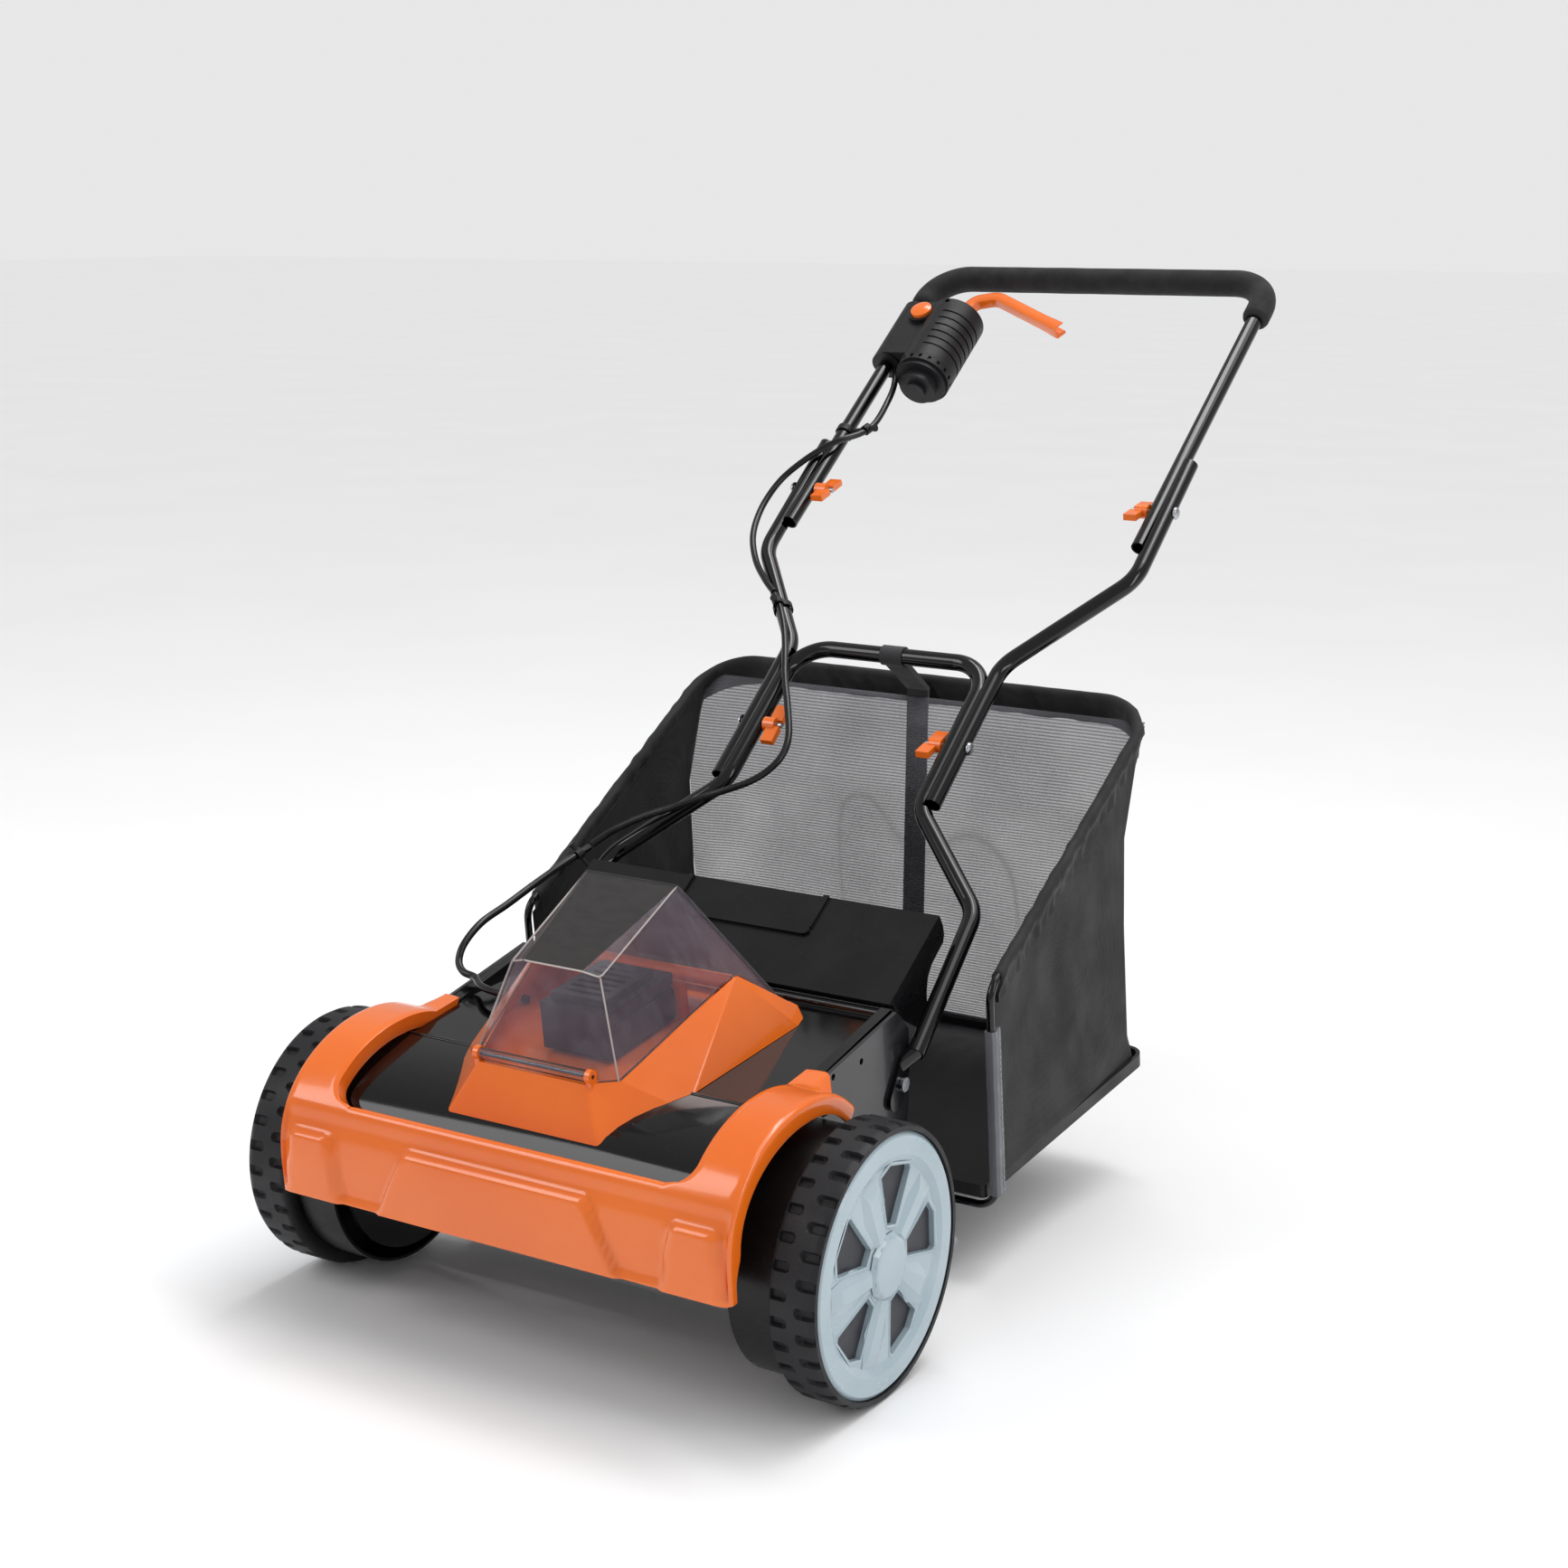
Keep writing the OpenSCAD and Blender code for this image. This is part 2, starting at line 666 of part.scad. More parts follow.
// A carriage bolt along X: domed head outside, threaded end inside for the wing knob
module carriage_bolt(x_in, x_head) {
    dome = [for (a = [0 : 15 : 90]) [7 * cos(a), x_head + 0.8 + 3.4 * sin(a)]];
    x_axis(0, 0) rotate_extrude() polygon(concat(
        [[0, x_in], [bolt_r, x_in], [bolt_r, x_head], [7, x_head]], dome));
}
module lower_bolts() {
    color(steel) placed() mid_frame() both_sides() carriage_bolt(88, mid_in_x + tube_r + 0.3);
}
module upper_bolts() {
    color(steel) placed() mid_frame() both_sides() translate([0, bolt_step, 0])
        carriage_bolt(189, mid_out_x + tube_r + 0.3);
}
// Wing knob whose face bears on the inner side of a tube at x = x_face; local frame of its bolt
module wing_knob_form(x_face) {
    difference() {
        union() {
            x_axis(0, 0, x_face - 14) cylinder(r = 8, h = 14);
            for (a = [0, 180]) rotate([a, 0, 0]) translate([x_face - 20, 4, -3.5]) cube([15, 20, 7]);
        }
        x_axis(0, 0, x_face - 40) cylinder(r = bolt_r + run_gap, h = 60);
    }
}
module wing_knob_low(side) {
    color(orange) placed() mid_frame() on_side(side) rotate([side > 0 ? -23 : 3, 0, 0])
        wing_knob_form(low_x - tube_r - 0.4);
}
module wing_knob_top(side) {
    color(orange) placed() mid_frame() translate([0, bolt_step, 0]) on_side(side)
        rotate([side > 0 ? -28 : -21, 0, 0]) wing_knob_form(top_x - tube_r - 0.4);
}

// ---------------------------------------------------------------- switch box on the upper handle

box_x = -160;
box_low = 222;
box_high = 322;
barrel_r = 34;
module switch_box() {
    color(black) placed() top_frame() difference() {
        union() {
            // clamp round the tube, bridge and barrel
            translate([-top_x, box_low, 0]) rotate([-90, 0, 0]) cylinder(r = 19, h = box_high - box_low);
            translate([-top_x, box_low + 2, -14]) cube([top_x + box_x, box_high - box_low - 4, 34]);
            translate([box_x, box_low - 12, 0]) rotate([-90, 0, 0]) cylinder(r = barrel_r, h = 100);
            translate([-196, 296, 18]) cylinder(r = 17, h = 7);
        }
        translate([-top_x, box_low - 1, 0]) rotate([-90, 0, 0])
            cylinder(r = tube_r + run_gap, h = box_high - box_low + 2);
        // seat of the start button, deep enough for its travel
        translate([-196, 296, 11.5]) cylinder(r = 13.4, h = 17);
        // grooves round the barrel
        for (y = [box_low + 4 : 12 : box_high - 26]) translate([box_x, y, 0]) rotate([-90, 0, 0])
            difference() {
                cylinder(r = barrel_r + 2, h = 3);
                translate([0, 0, -1]) cylinder(r = barrel_r - 1.2, h = 5);
                translate([-60, -60, -1]) cube([60, 120, 5]);
            }
        // pocket of the bail lever's pivot
        translate([-182, 295, -9]) cube([46, 35, 18]);
        translate([-162, 306, -40]) cylinder(r = 3 + run_gap, h = 80);
    }
}
module switch_cap() {
    color(black) placed() top_frame() translate([box_x, box_low - 12.3, 0]) rotate([90, 0, 0]) difference() {
        union() {
            cylinder(r = barrel_r, h = 10);
            cylinder(r = 31, h = 16);
            cylinder(r = 22, h = 28);
            cylinder(r = 12, h = 33);
        }
        for (a = [0 : 20 : 340]) rotate([0, 0, a]) translate([barrel_r - 2, -2, 2]) cube([6, 4, 6]);
    }
}
module start_button() {
    color(orange) placed() top_frame() translate([-196, 296, 17]) union() {
        cylinder(r = 13, h = 11);
        intersection() {
            cylinder(r = 13, h = 16);
            translate([0, 0, -21]) sphere(r = 35);
        }
    }
}
// Bail lever: pivots on a pin across the pocket and reaches along the grip
bail_pivot = [-162, 306];
bail_path = [[-162, 306], [-150, 344], [-122, 352], [-16, 296]];
module bail_lever() {
    $fn = 32;
    color(orange) placed() top_frame() difference() {
        union() {
            for (i = [0 : 2]) hull() for (j = [i, i + 1])
                translate([bail_path[j][0], bail_path[j][1], -7]) cylinder(r = 8, h = 14);
        }
        // hollow back of the channel
        for (i = [1 : 2]) hull() for (j = [i, i + 1])
            translate([bail_path[j][0], bail_path[j][1] + 4, -4.5]) cylinder(r = 6, h = 9);
        translate([-12, 300, -10]) cylinder(r = 6, h = 20);
        translate([bail_pivot[0], bail_pivot[1], -40]) cylinder(r = 3 + run_gap, h = 80);
    }
}

// ---------------------------------------------------------------- control cable

cable_r = 3.8;
// Points picked along the cable's run, from the switch box to the battery housing
top_loop = [
    [-207, 922, 830], [-194, 897, 812], [-184, 865, 795], [-183, 833, 771], [-190, 812, 760],
    [-205, 789, 753], [-222, 775, 743], [-243, 757, 725], [-258, 737, 705], [-262, 706, 678],
    [-251, 670, 651], [-227, 638, 627], [-198, 612, 610], [-177, 598, 599]
];
low_loop = [
    [-175, 596, 597], [-154, 576, 582], [-131, 547, 558], [-104, 504, 525], [-82, 474, 499],
    [-64, 447, 473], [-61, 428, 455], [-70, 411, 440], [-86, 398, 429], [-108, 388, 420],
    [-128, 380, 412], [-154, 364, 401.5], [-184, 352, 390], [-214, 336, 374], [-230, 318, 360]
];
front_loop = [
    [-231, 316, 358], [-236, 300, 352], [-238, 270, 345], [-236, 222, 336], [-236, 180, 326],
    [-236, 138, 317], [-236, 110, 302], [-233, 97, 288], [-222, 90, 280], [-205, 87, 278],
    [-184, 70, 277], [-160, 62, 277], [-136, 60, 277], [-118, 60, 277]
];
module cable_top_loop() { color(black) placed() cord(top_loop, cable_r, [0.1, -0.6, 0.8]); }
module cable_low_loop() { color(black) placed() cord(low_loop, cable_r, [0.1, -0.6, 0.8]); }
module cable_front_loop() { color(black) placed() cord(front_loop, cable_r, [0, 0, 1]); }
// Strap clip: a ring round a tube, a ring round the cable and a pin head beyond it
module cable_clip(tube, tube_dir, cable, cable_dir) {
    d = unit(tube_dir);
    e = unit(cable_dir);
    reach = cable - tube;
    across_it = unit(reach);
    difference() {
        union() {
            along(tube - d * 4, d) cylinder(r = tube_r + 2.2, h = 8);
            along(cable - e * 4, e) cylinder(r = cable_r + 2.4, h = 8);
            along(tube + across_it * tube_r, reach) cylinder(r = 2.6, h = norm(reach) - tube_r);
            along(cable + across_it * (cable_r + 1.4), reach) cylinder(r = 2.6, h = 7);
            along(cable + across_it * (cable_r + 7), reach) cylinder(r = 4.2, h = 3);
        }
        along(tube - d * 12, d) cylinder(r = tube_r + 0.6, h = 24);
        along(cable - e * 12, e) cylinder(r = cable_r + 0.9, h = 24);
    }
}
module cable_clip_top() {
    color(black) placed() cable_clip([-top_x, 825, 759], [0, 80, 60], [-187, 820, 764.3], [7, 21, 11]);
}
module cable_clip_mid() {
    color(black) placed()
        cable_clip([-166, 599.3, 580.6], [59, -62, -50], [-164.5, 586, 589.5], [21, -20, -15]);
}
module cable_clip_low() {
    color(black) placed() cable_clip([-220.2, 313, 328.3], [-12, -138, -103], [-235.5, 302, 352.6], [-5, -20, -8]);
}

// ---------------------------------------------------------------- grass catcher

tray_slope = 7;
rim_back = [628, 512];
post_low = [286, 70];
post_top = [262, 297];
wire_bends = [0, 22, 22, 60, 60, 22, 22, 0];
wire_path = [
    [0, post_low[0], post_low[1]], [catcher_x, post_low[0], post_low[1]],
    [catcher_x, post_top[0], post_top[1]], [catcher_x, rim_back[0], rim_back[1]],
    [-catcher_x, rim_back[0], rim_back[1]], [-catcher_x, post_top[0], post_top[1]],
    [-catcher_x, post_low[0], post_low[1]], [0, post_low[0], post_low[1]]
];
module catcher_frame() { color(black) placed() bent_bar(wire_path, wire_bends, wire_r); }
side_shape = [[288, 95], [267, 290], [600, 486], [621, 498], [614, 135]];
module catcher_bag() {
    color(mesh_grey) placed() {
        both_sides() across(catcher_x - 8, catcher_x - 5) polygon(side_shape);
        across(-catcher_x + 8, catcher_x - 8)
            polygon([[611, 135], [614, 135], [621, 498], [618, 498]]);
    }
}
module catcher_tray() {
    color(black) placed() translate([0, 280, 78.2]) rotate([tray_slope, 0, 0]) difference() {
        hull() both_sides() {
            translate([258.5, 8, 0]) cylinder(r = 6, h = 14);
            translate([258, 332, 0]) cylinder(r = 20, h = 14);
        }
        translate([0, 0, 2.5]) hull() both_sides() {
            translate([257.5, 8, 0]) cylinder(r = 4, h = 14);
            translate([257, 331, 0]) cylinder(r = 17, h = 14);
        }
    }
}
module catcher_strap() {
    bar_y = low_bolt[0] + 113 * cos(mid_slope);
    bar_z = low_bolt[1] + 113 * sin(mid_slope);
    color(black) placed() difference() {
        union() {
            rod_x(bar_y, bar_z, -13, 13, tube_r + 2);
            across(-13, 13) polygon([[bar_y + 4, bar_z - 12], [bar_y + 9, bar_z - 7], [617, 506], [613, 503]]);
            across(-13, 13) polygon([[612, 482], [614, 482], [608, 150], [606, 150]]);
            across(-13, 13) polygon([[612, 482], [614, 482], [617, 506], [613, 506]]);
        }
        rod_x(bar_y, bar_z, -14, 14, tube_r + 0.1);
    }
}

// ---------------------------------------------------------------- drawing

front_fascia();
reel_cover();
rear_deck();
deflector();
side_plate(-1);  // side_plate_left
side_plate(1);  // side_plate_right
drum_cover(-1);  // drum_cover_left
drum_cover(1);  // drum_cover_right
battery_housing();
battery_terminal();
hinge_pin();
motor();
stub_axles();
bed_knife();
bed_bar();
drive_belt();
reel_bushes();
lower_handle();
frame_screws();
lower_bolts();
cable_front_loop();
cable_clip_low();
roller_arms();
roller_rod();
rear_roller();
tyre(-1);  // tyre_left
wheel_core(-1);  // wheel_core_left
hub_cap(-1);  // hub_cap_left
tyre(1);  // tyre_right
wheel_core(1);  // wheel_core_right
hub_cap(1);  // hub_cap_right
reel_shaft();
reel_blades();
reel_spiders();
reel_pulley();
motor_pulley();
battery_pack();
battery_lid();
lid_latch();
mid_tube(-1);  // mid_tube_left
mid_tube(1);  // mid_tube_right
upper_bolts();
cable_low_loop();
cable_clip_mid();
wing_knob_low(-1);  // wing_knob_low_left
wing_knob_low(1);  // wing_knob_low_right
wing_knob_top(-1);  // wing_knob_top_left
wing_knob_top(1);  // wing_knob_top_right
upper_handle();
foam_grip();
switch_box();
switch_cap();
cable_top_loop();
cable_clip_top();
start_button();
bail_lever();
catcher_frame();
catcher_bag();
catcher_tray();
catcher_strap();
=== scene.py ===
import math

import bmesh
import bpy
from mathutils import Matrix, Vector, noise


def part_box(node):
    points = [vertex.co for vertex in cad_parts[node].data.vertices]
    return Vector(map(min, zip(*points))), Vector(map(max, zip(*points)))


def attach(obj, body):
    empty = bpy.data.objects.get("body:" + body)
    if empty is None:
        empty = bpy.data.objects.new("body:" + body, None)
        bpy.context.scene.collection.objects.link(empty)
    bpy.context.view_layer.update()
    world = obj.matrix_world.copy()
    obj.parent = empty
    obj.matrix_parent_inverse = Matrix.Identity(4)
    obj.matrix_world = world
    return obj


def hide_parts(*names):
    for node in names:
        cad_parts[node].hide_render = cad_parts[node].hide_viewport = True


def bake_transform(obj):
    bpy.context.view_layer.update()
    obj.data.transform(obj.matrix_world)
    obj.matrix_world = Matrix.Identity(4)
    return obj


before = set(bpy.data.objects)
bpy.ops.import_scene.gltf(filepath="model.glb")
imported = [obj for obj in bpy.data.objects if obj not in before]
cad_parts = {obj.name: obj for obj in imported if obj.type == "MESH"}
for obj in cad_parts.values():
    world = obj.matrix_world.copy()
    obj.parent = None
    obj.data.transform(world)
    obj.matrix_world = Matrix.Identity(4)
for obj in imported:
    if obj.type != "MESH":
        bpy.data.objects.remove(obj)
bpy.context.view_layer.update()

MM = 0.001
WHEEL_LOW, WHEEL_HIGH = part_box("tyre_right")
AXLE_Y = (WHEEL_LOW[1] + WHEEL_HIGH[1]) / 2
AXLE_Z = (WHEEL_LOW[2] + WHEEL_HIGH[2]) / 2 / MM
# The handle: its two pairs of bolts in (y, z) and the slopes of its sections in degrees
LOW_BOLT = (472.0, 477.5)
MID_SLOPE = 39
BOLT_STEP = 351.3
UPPER_SLOPE = 37
TOP_BOLT = (
    LOW_BOLT[0] + BOLT_STEP * math.cos(math.radians(MID_SLOPE)),
    LOW_BOLT[1] + BOLT_STEP * math.sin(math.radians(MID_SLOPE)),
)


# ---------------------------------------------------------------- places and curves

def at(x, y, z):
    """A place in the part's millimetres as a point of the frame."""
    return Vector((x * MM, AXLE_Y + y * MM, z * MM))


def on_slope(origin, slope, x, y, z):
    """A place in a handle section's own frame: y along the tubes, z out of their plane."""
    c, s = math.cos(math.radians(slope)), math.sin(math.radians(slope))
    return at(x, origin[0] + y * c - z * s, origin[1] + y * s + z * c)


def top_at(x, y, z):
    """A place on the upper handle, from its own bolts."""
    return on_slope(TOP_BOLT, UPPER_SLOPE, x, y, z)


def smooth(t):
    """An even rise from 0 to 1."""
    t = min(max(t, 0.0), 1.0)
    return t * t * (3 - 2 * t)


def mix(a, b, t):
    return a * (1 - t) + b * t


def spline(points, steps):
    """A smooth curve through given points."""
    line = []
    for i in range(len(points) - 1):
        a, b = points[max(i - 1, 0)], points[i]
        c, d = points[i + 1], points[min(i + 2, len(points) - 1)]
        for s in range(steps):
            t = s / steps
            line.append(0.5 * (2 * b + (c - a) * t + (2 * a - 5 * b + 4 * c - d) * t * t
                               + (3 * b - a - 3 * c + d) * t * t * t))
    return line + [points[-1]]


def rounded(points, radii, arc_steps=10):
    """Straight stretches joined by arcs; one radius for each corner."""
    line = [points[0]]
    for i in range(1, len(points) - 1):
        before = (points[i] - points[i - 1]).normalized()
        after = (points[i + 1] - points[i]).normalized()
        turn = before.angle(after)
        radius = radii[i] if isinstance(radii, (list, tuple)) else radii
        reach = radius * math.tan(turn / 2)
        start = points[i] - before * reach
        toward = (before.cross(after).cross(before)).normalized()
        centre = start + toward * radius
        axis = before.cross(after).normalized()
        for k in range(arc_steps + 1):
            spin = Matrix.Rotation(turn * k / arc_steps, 3, axis)
            line.append(centre + spin @ (start - centre))
    return line + [points[-1]]


def spaced(line, step):
    """The same line with points at even distances."""
    lengths = [0.0]
    for a, b in zip(line, line[1:]):
        lengths.append(lengths[-1] + (b - a).length)
    count = max(2, round(lengths[-1] / step))
    result, j = [], 0
    for k in range(count + 1):
        want = lengths[-1] * k / count
        while j < len(line) - 2 and lengths[j + 1] < want:
            j += 1
        span = max(lengths[j + 1] - lengths[j], 1e-9)
        result.append(line[j].lerp(line[j + 1], (want - lengths[j]) / span))
    return result


# ---------------------------------------------------------------- mesh helpers

def piece(name, verts, faces, body, material, sharp=35, solid=True):
    """A mesh object that rides on a body; edges over the sharp angle, in degrees, stay hard."""
    mesh = bpy.data.meshes.new(name)
    mesh.from_pydata([tuple(v) for v in verts], [], faces)
    if solid:
        bm = bmesh.new()
        bm.from_mesh(mesh)
        bmesh.ops.recalc_face_normals(bm, faces=bm.faces)
        bm.to_mesh(mesh)
        bm.free()
    mesh.polygons.foreach_set("use_smooth", [True] * len(mesh.polygons))
    mesh.set_sharp_from_angle(angle=math.radians(sharp))
    mesh.materials.append(material)
    obj = bpy.data.objects.new(name, mesh)
    bpy.context.scene.collection.objects.link(obj)
    if body:
        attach(obj, body)
    return obj


def hand(side):
    """The word for a side: 1 is right and -1 is left."""
    return "right" if side > 0 else "left"


def add_part(verts, faces, part_verts, part_faces):
    """Joins a part to the lists of a larger mesh."""
    base = len(verts)
    verts.extend(part_verts)
    faces.extend(tuple(base + k for k in face) for face in part_faces)


def bands(rings, n, closed_ends=True):
    """Faces between neighbouring rings of n points each, and across the two end rings."""
    faces = [(i * n + k, i * n + (k + 1) % n, (i + 1) * n + (k + 1) % n, (i + 1) * n + k)
             for i in range(rings - 1) for k in range(n)]
    if closed_ends:
        faces.append(tuple(range(n)))
        faces.append(tuple((rings - 1) * n + k for k in reversed(range(n))))
    return faces


def round_bands(rings, n):
    """Faces between rings of n points each, where the last ring meets the first again."""
    return [tuple(k % (rings * n) for k in face) for face in bands(rings + 1, n, closed_ends=False)]


def soften(obj, name, width, angle):
    """Rounds the piece's edges; the width is in millimetres and the angle in degrees."""
    edge = obj.modifiers.new(name, "BEVEL")
    edge.width = width * MM
    edge.segments = 2
    edge.limit_method = "ANGLE"
    edge.angle_limit = math.radians(angle)


def thicken(obj, name, thickness, offset):
    """Gives a sheet its thickness in millimetres; an offset of -1 grows it inwards."""
    wall = obj.modifiers.new(name, "SOLIDIFY")
    wall.thickness = thickness * MM
    wall.offset = offset


def frames(line, up):
    """A pair of cross directions for each point of a line, without twist."""
    result = []
    side = None
    for i in range(len(line)):
        ahead = (line[min(i + 1, len(line) - 1)] - line[max(i - 1, 0)]).normalized()
        if side is None:
            side = ahead.cross(up).normalized()
        else:
            side = (side - ahead * side.dot(ahead)).normalized()
        result.append((side, ahead.cross(side)))
    return result


def sweep(line, section, up=Vector((0, 0, 1)), closed_ends=True):
    """Rings along a line; section(i) gives the ring's offsets as (side, up) pairs."""
    verts = []
    cross = frames(line, up)
    for i, p in enumerate(line):
        for a, b in section(i):
            verts.append(p + cross[i][0] * a + cross[i][1] * b)
    return verts, bands(len(line), len(section(0)), closed_ends)


def ring(radius, sides):
    """A round section for sweep."""
    return [(radius * math.cos(2 * math.pi * k / sides), radius * math.sin(2 * math.pi * k / sides))
            for k in range(sides)]


def patch(nu, nv, place):
    """A grid of place(u, v) points, u and v from 0 to 1."""
    verts = [place(i / nu, j / nv) for j in range(nv + 1) for i in range(nu + 1)]
    row = nu + 1
    faces = [(j * row + i, j * row + i + 1, (j + 1) * row + i + 1, (j + 1) * row + i)
             for j in range(nv) for i in range(nu)]
    return verts, faces


def revolved(name, profile, side, body, material, steps):
    """A closed (radius, x) outline turned about the wheel axis, in millimetres."""
    verts = []
    for k in range(steps):
        a = 2 * math.pi * k / steps
        verts += [at(side * x, r * math.cos(a), AXLE_Z + r * math.sin(a)) for r, x in profile]
    return piece(name, verts, round_bands(steps, len(profile)), body, material)


# ---------------------------------------------------------------- materials

def colour(r, g, b):
    """An sRGB colour of 0 to 255 as linear values."""
    def lin(c):
        c = c / 255
        return c / 12.92 if c <= 0.04045 else ((c + 0.055) / 1.055) ** 2.4
    return (lin(r), lin(g), lin(b), 1.0)


class Shader:
    """A principled material in object coordinates, with its nodes added by small steps."""

    def __init__(self, name, rough, metallic=0.0, coat=0.0, coat_rough=0.05, sheen=0.0):
        self.mat = bpy.data.materials.new(name)
        self.mat.use_nodes = True
        self.tree = self.mat.node_tree
        self.bsdf = self.tree.nodes["Principled BSDF"]
        self.bsdf.inputs["Metallic"].default_value = metallic
        self.bsdf.inputs["Roughness"].default_value = rough
        self.bsdf.inputs["Coat Weight"].default_value = coat
        self.bsdf.inputs["Coat Roughness"].default_value = coat_rough
        self.bsdf.inputs["Sheen Weight"].default_value = sheen
        self.coords = self.node("ShaderNodeTexCoord").outputs["Object"]
        self.height = None

    def node(self, kind, **settings):
        """A new node; each setting is one of its sockets or one of its own properties."""
        made = self.tree.nodes.new(kind)
        for key, value in settings.items():
            if key in made.inputs:
                made.inputs[key].default_value = value
            else:
                setattr(made, key, value)
        return made

    def join(self, out, socket):
        self.tree.links.new(out, socket)

    def noise(self, scale, detail=3.0, stretch=None):
        """Cloudy noise, with more than one scale along the axes where stretch is given."""
        tex = self.node("ShaderNodeTexNoise", Scale=scale, Detail=detail)
        source = self.coords
        if stretch:
            mapping = self.node("ShaderNodeMapping")
            mapping.inputs["Scale"].default_value = stretch
            self.join(source, mapping.inputs["Vector"])
            source = mapping.outputs["Vector"]
        self.join(source, tex.inputs["Vector"])
        return tex.outputs["Fac"]

    def wave(self, scale, direction):
        """Even threads across one axis."""
        tex = self.node("ShaderNodeTexWave", Scale=scale)
        tex.bands_direction = direction
        tex.wave_profile = "SIN"
        self.join(self.coords, tex.inputs["Vector"])
        return tex.outputs["Fac"]

    def between(self, value, low, high, from_low=0.3, from_high=0.7):
        """The value mapped from one range to another, and kept inside it."""
        remap = self.node("ShaderNodeMapRange")
        remap.inputs["From Min"].default_value = from_low
        remap.inputs["From Max"].default_value = from_high
        remap.inputs["To Min"].default_value = low
        remap.inputs["To Max"].default_value = high
        self.join(value, remap.inputs["Value"])
        return remap.outputs["Result"]

    def blend(self, factor, a, b):
        """Colour a where the factor is 0 and b where it is 1."""
        mixer = self.node("ShaderNodeMix", data_type="RGBA")
        self.join(factor, mixer.inputs[0])
        for socket, value in ((mixer.inputs[6], a), (mixer.inputs[7], b)):
            if isinstance(value, tuple):
                socket.default_value = value
            else:
                self.join(value, socket)
        return mixer.outputs[2]

    def math(self, operation, a, b):
        sum_node = self.node("ShaderNodeMath", operation=operation)
        for socket, value in zip(sum_node.inputs, (a, b)):
            if isinstance(value, (int, float)):
                socket.default_value = value
            else:
                self.join(value, socket)
        return sum_node.outputs[0]

    def base(self, out):
        self.join(out, self.bsdf.inputs["Base Color"])

    def roughness(self, out):
        self.join(out, self.bsdf.inputs["Roughness"])

    def alpha(self, out):
        self.join(out, self.bsdf.inputs["Alpha"])

    def bump(self, out, depth, distance=0.001):
        """Relief from a value, on top of any relief that is already there."""
        made = self.node("ShaderNodeBump", Strength=depth, Distance=distance)
        self.join(out, made.inputs["Height"])
        if self.height:
            self.join(self.height, made.inputs["Normal"])
        self.height = made.outputs["Normal"]
        self.join(self.height, self.bsdf.inputs["Normal"])

    def facing(self, axis):
        """One component of the surface's own normal: how far it faces along X, Y or Z."""
        split = self.node("ShaderNodeSeparateXYZ")
        self.join(self.node("ShaderNodeNewGeometry").outputs["True Normal"], split.inputs[0])
        return split.outputs[axis]


def plastic(name, dark, light, rough, grain, grain_depth, coat=0.0, specular=0.5):
    """Moulded plastic or paint: a slow change of tone, a fine grain and smears in its gloss."""
    s = Shader(name, rough, coat=coat)
    s.bsdf.inputs["Specular IOR Level"].default_value = specular
    tone = s.blend(s.between(s.noise(9.0, 4.0), 0.0, 1.0), dark, light)
    scuffs = s.between(s.noise(240.0, 8.0, stretch=(1.0, 2.5, 1.0)), 0.0, 0.14, 0.6, 0.8)
    worn = tuple(0.82 * a + 0.18 * b for a, b in zip(light, (0.5, 0.5, 0.5, 1.0)))
    s.base(s.blend(scuffs, tone, worn))
    smear = s.noise(26.0, 5.0, stretch=(1.0, 0.6, 1.6))
    s.roughness(s.between(smear, rough * 0.75, min(rough * 1.3, 1.0), 0.25, 0.75))
    s.bump(s.noise(grain, 2.0), grain_depth)
    return s.mat


def metal(name, dark, light, rough, brushed):
    """Bare or plated metal with fine lines; brushed is their stretch along the axes."""
    s = Shader(name, rough, metallic=1.0)
    lines = s.noise(140.0, 4.0, stretch=brushed)
    s.base(s.blend(s.between(lines, 0.0, 1.0), dark, light))
    s.roughness(s.between(s.noise(35.0, 5.0), rough * 0.7, rough * 1.5))
    s.bump(lines, 0.12, 0.0004)
    return s.mat


def woven(name, dark, light, thread, sheen, rough=0.75):
    """Plain weave: two sets of threads, with a slow change of tone and fine fuzz."""
    s = Shader(name, rough, sheen=sheen)
    warp = s.wave(thread, "X")
    weft = s.wave(thread, "Z")
    weave = s.math("MULTIPLY", warp, weft)
    tone = s.math("ADD", s.math("MULTIPLY", weave, 0.45), s.math("MULTIPLY", s.noise(14.0, 5.0), 0.7))
    s.base(s.blend(s.between(tone, 0.0, 1.0, 0.2, 0.8), dark, light))
    s.roughness(s.between(s.noise(18.0, 4.0), rough * 0.8, min(1.0, rough * 1.15)))
    s.bump(s.noise(45.0, 6.0), 0.35, 0.002)
    s.bump(weave, 0.3, 0.0005)
    return s.mat


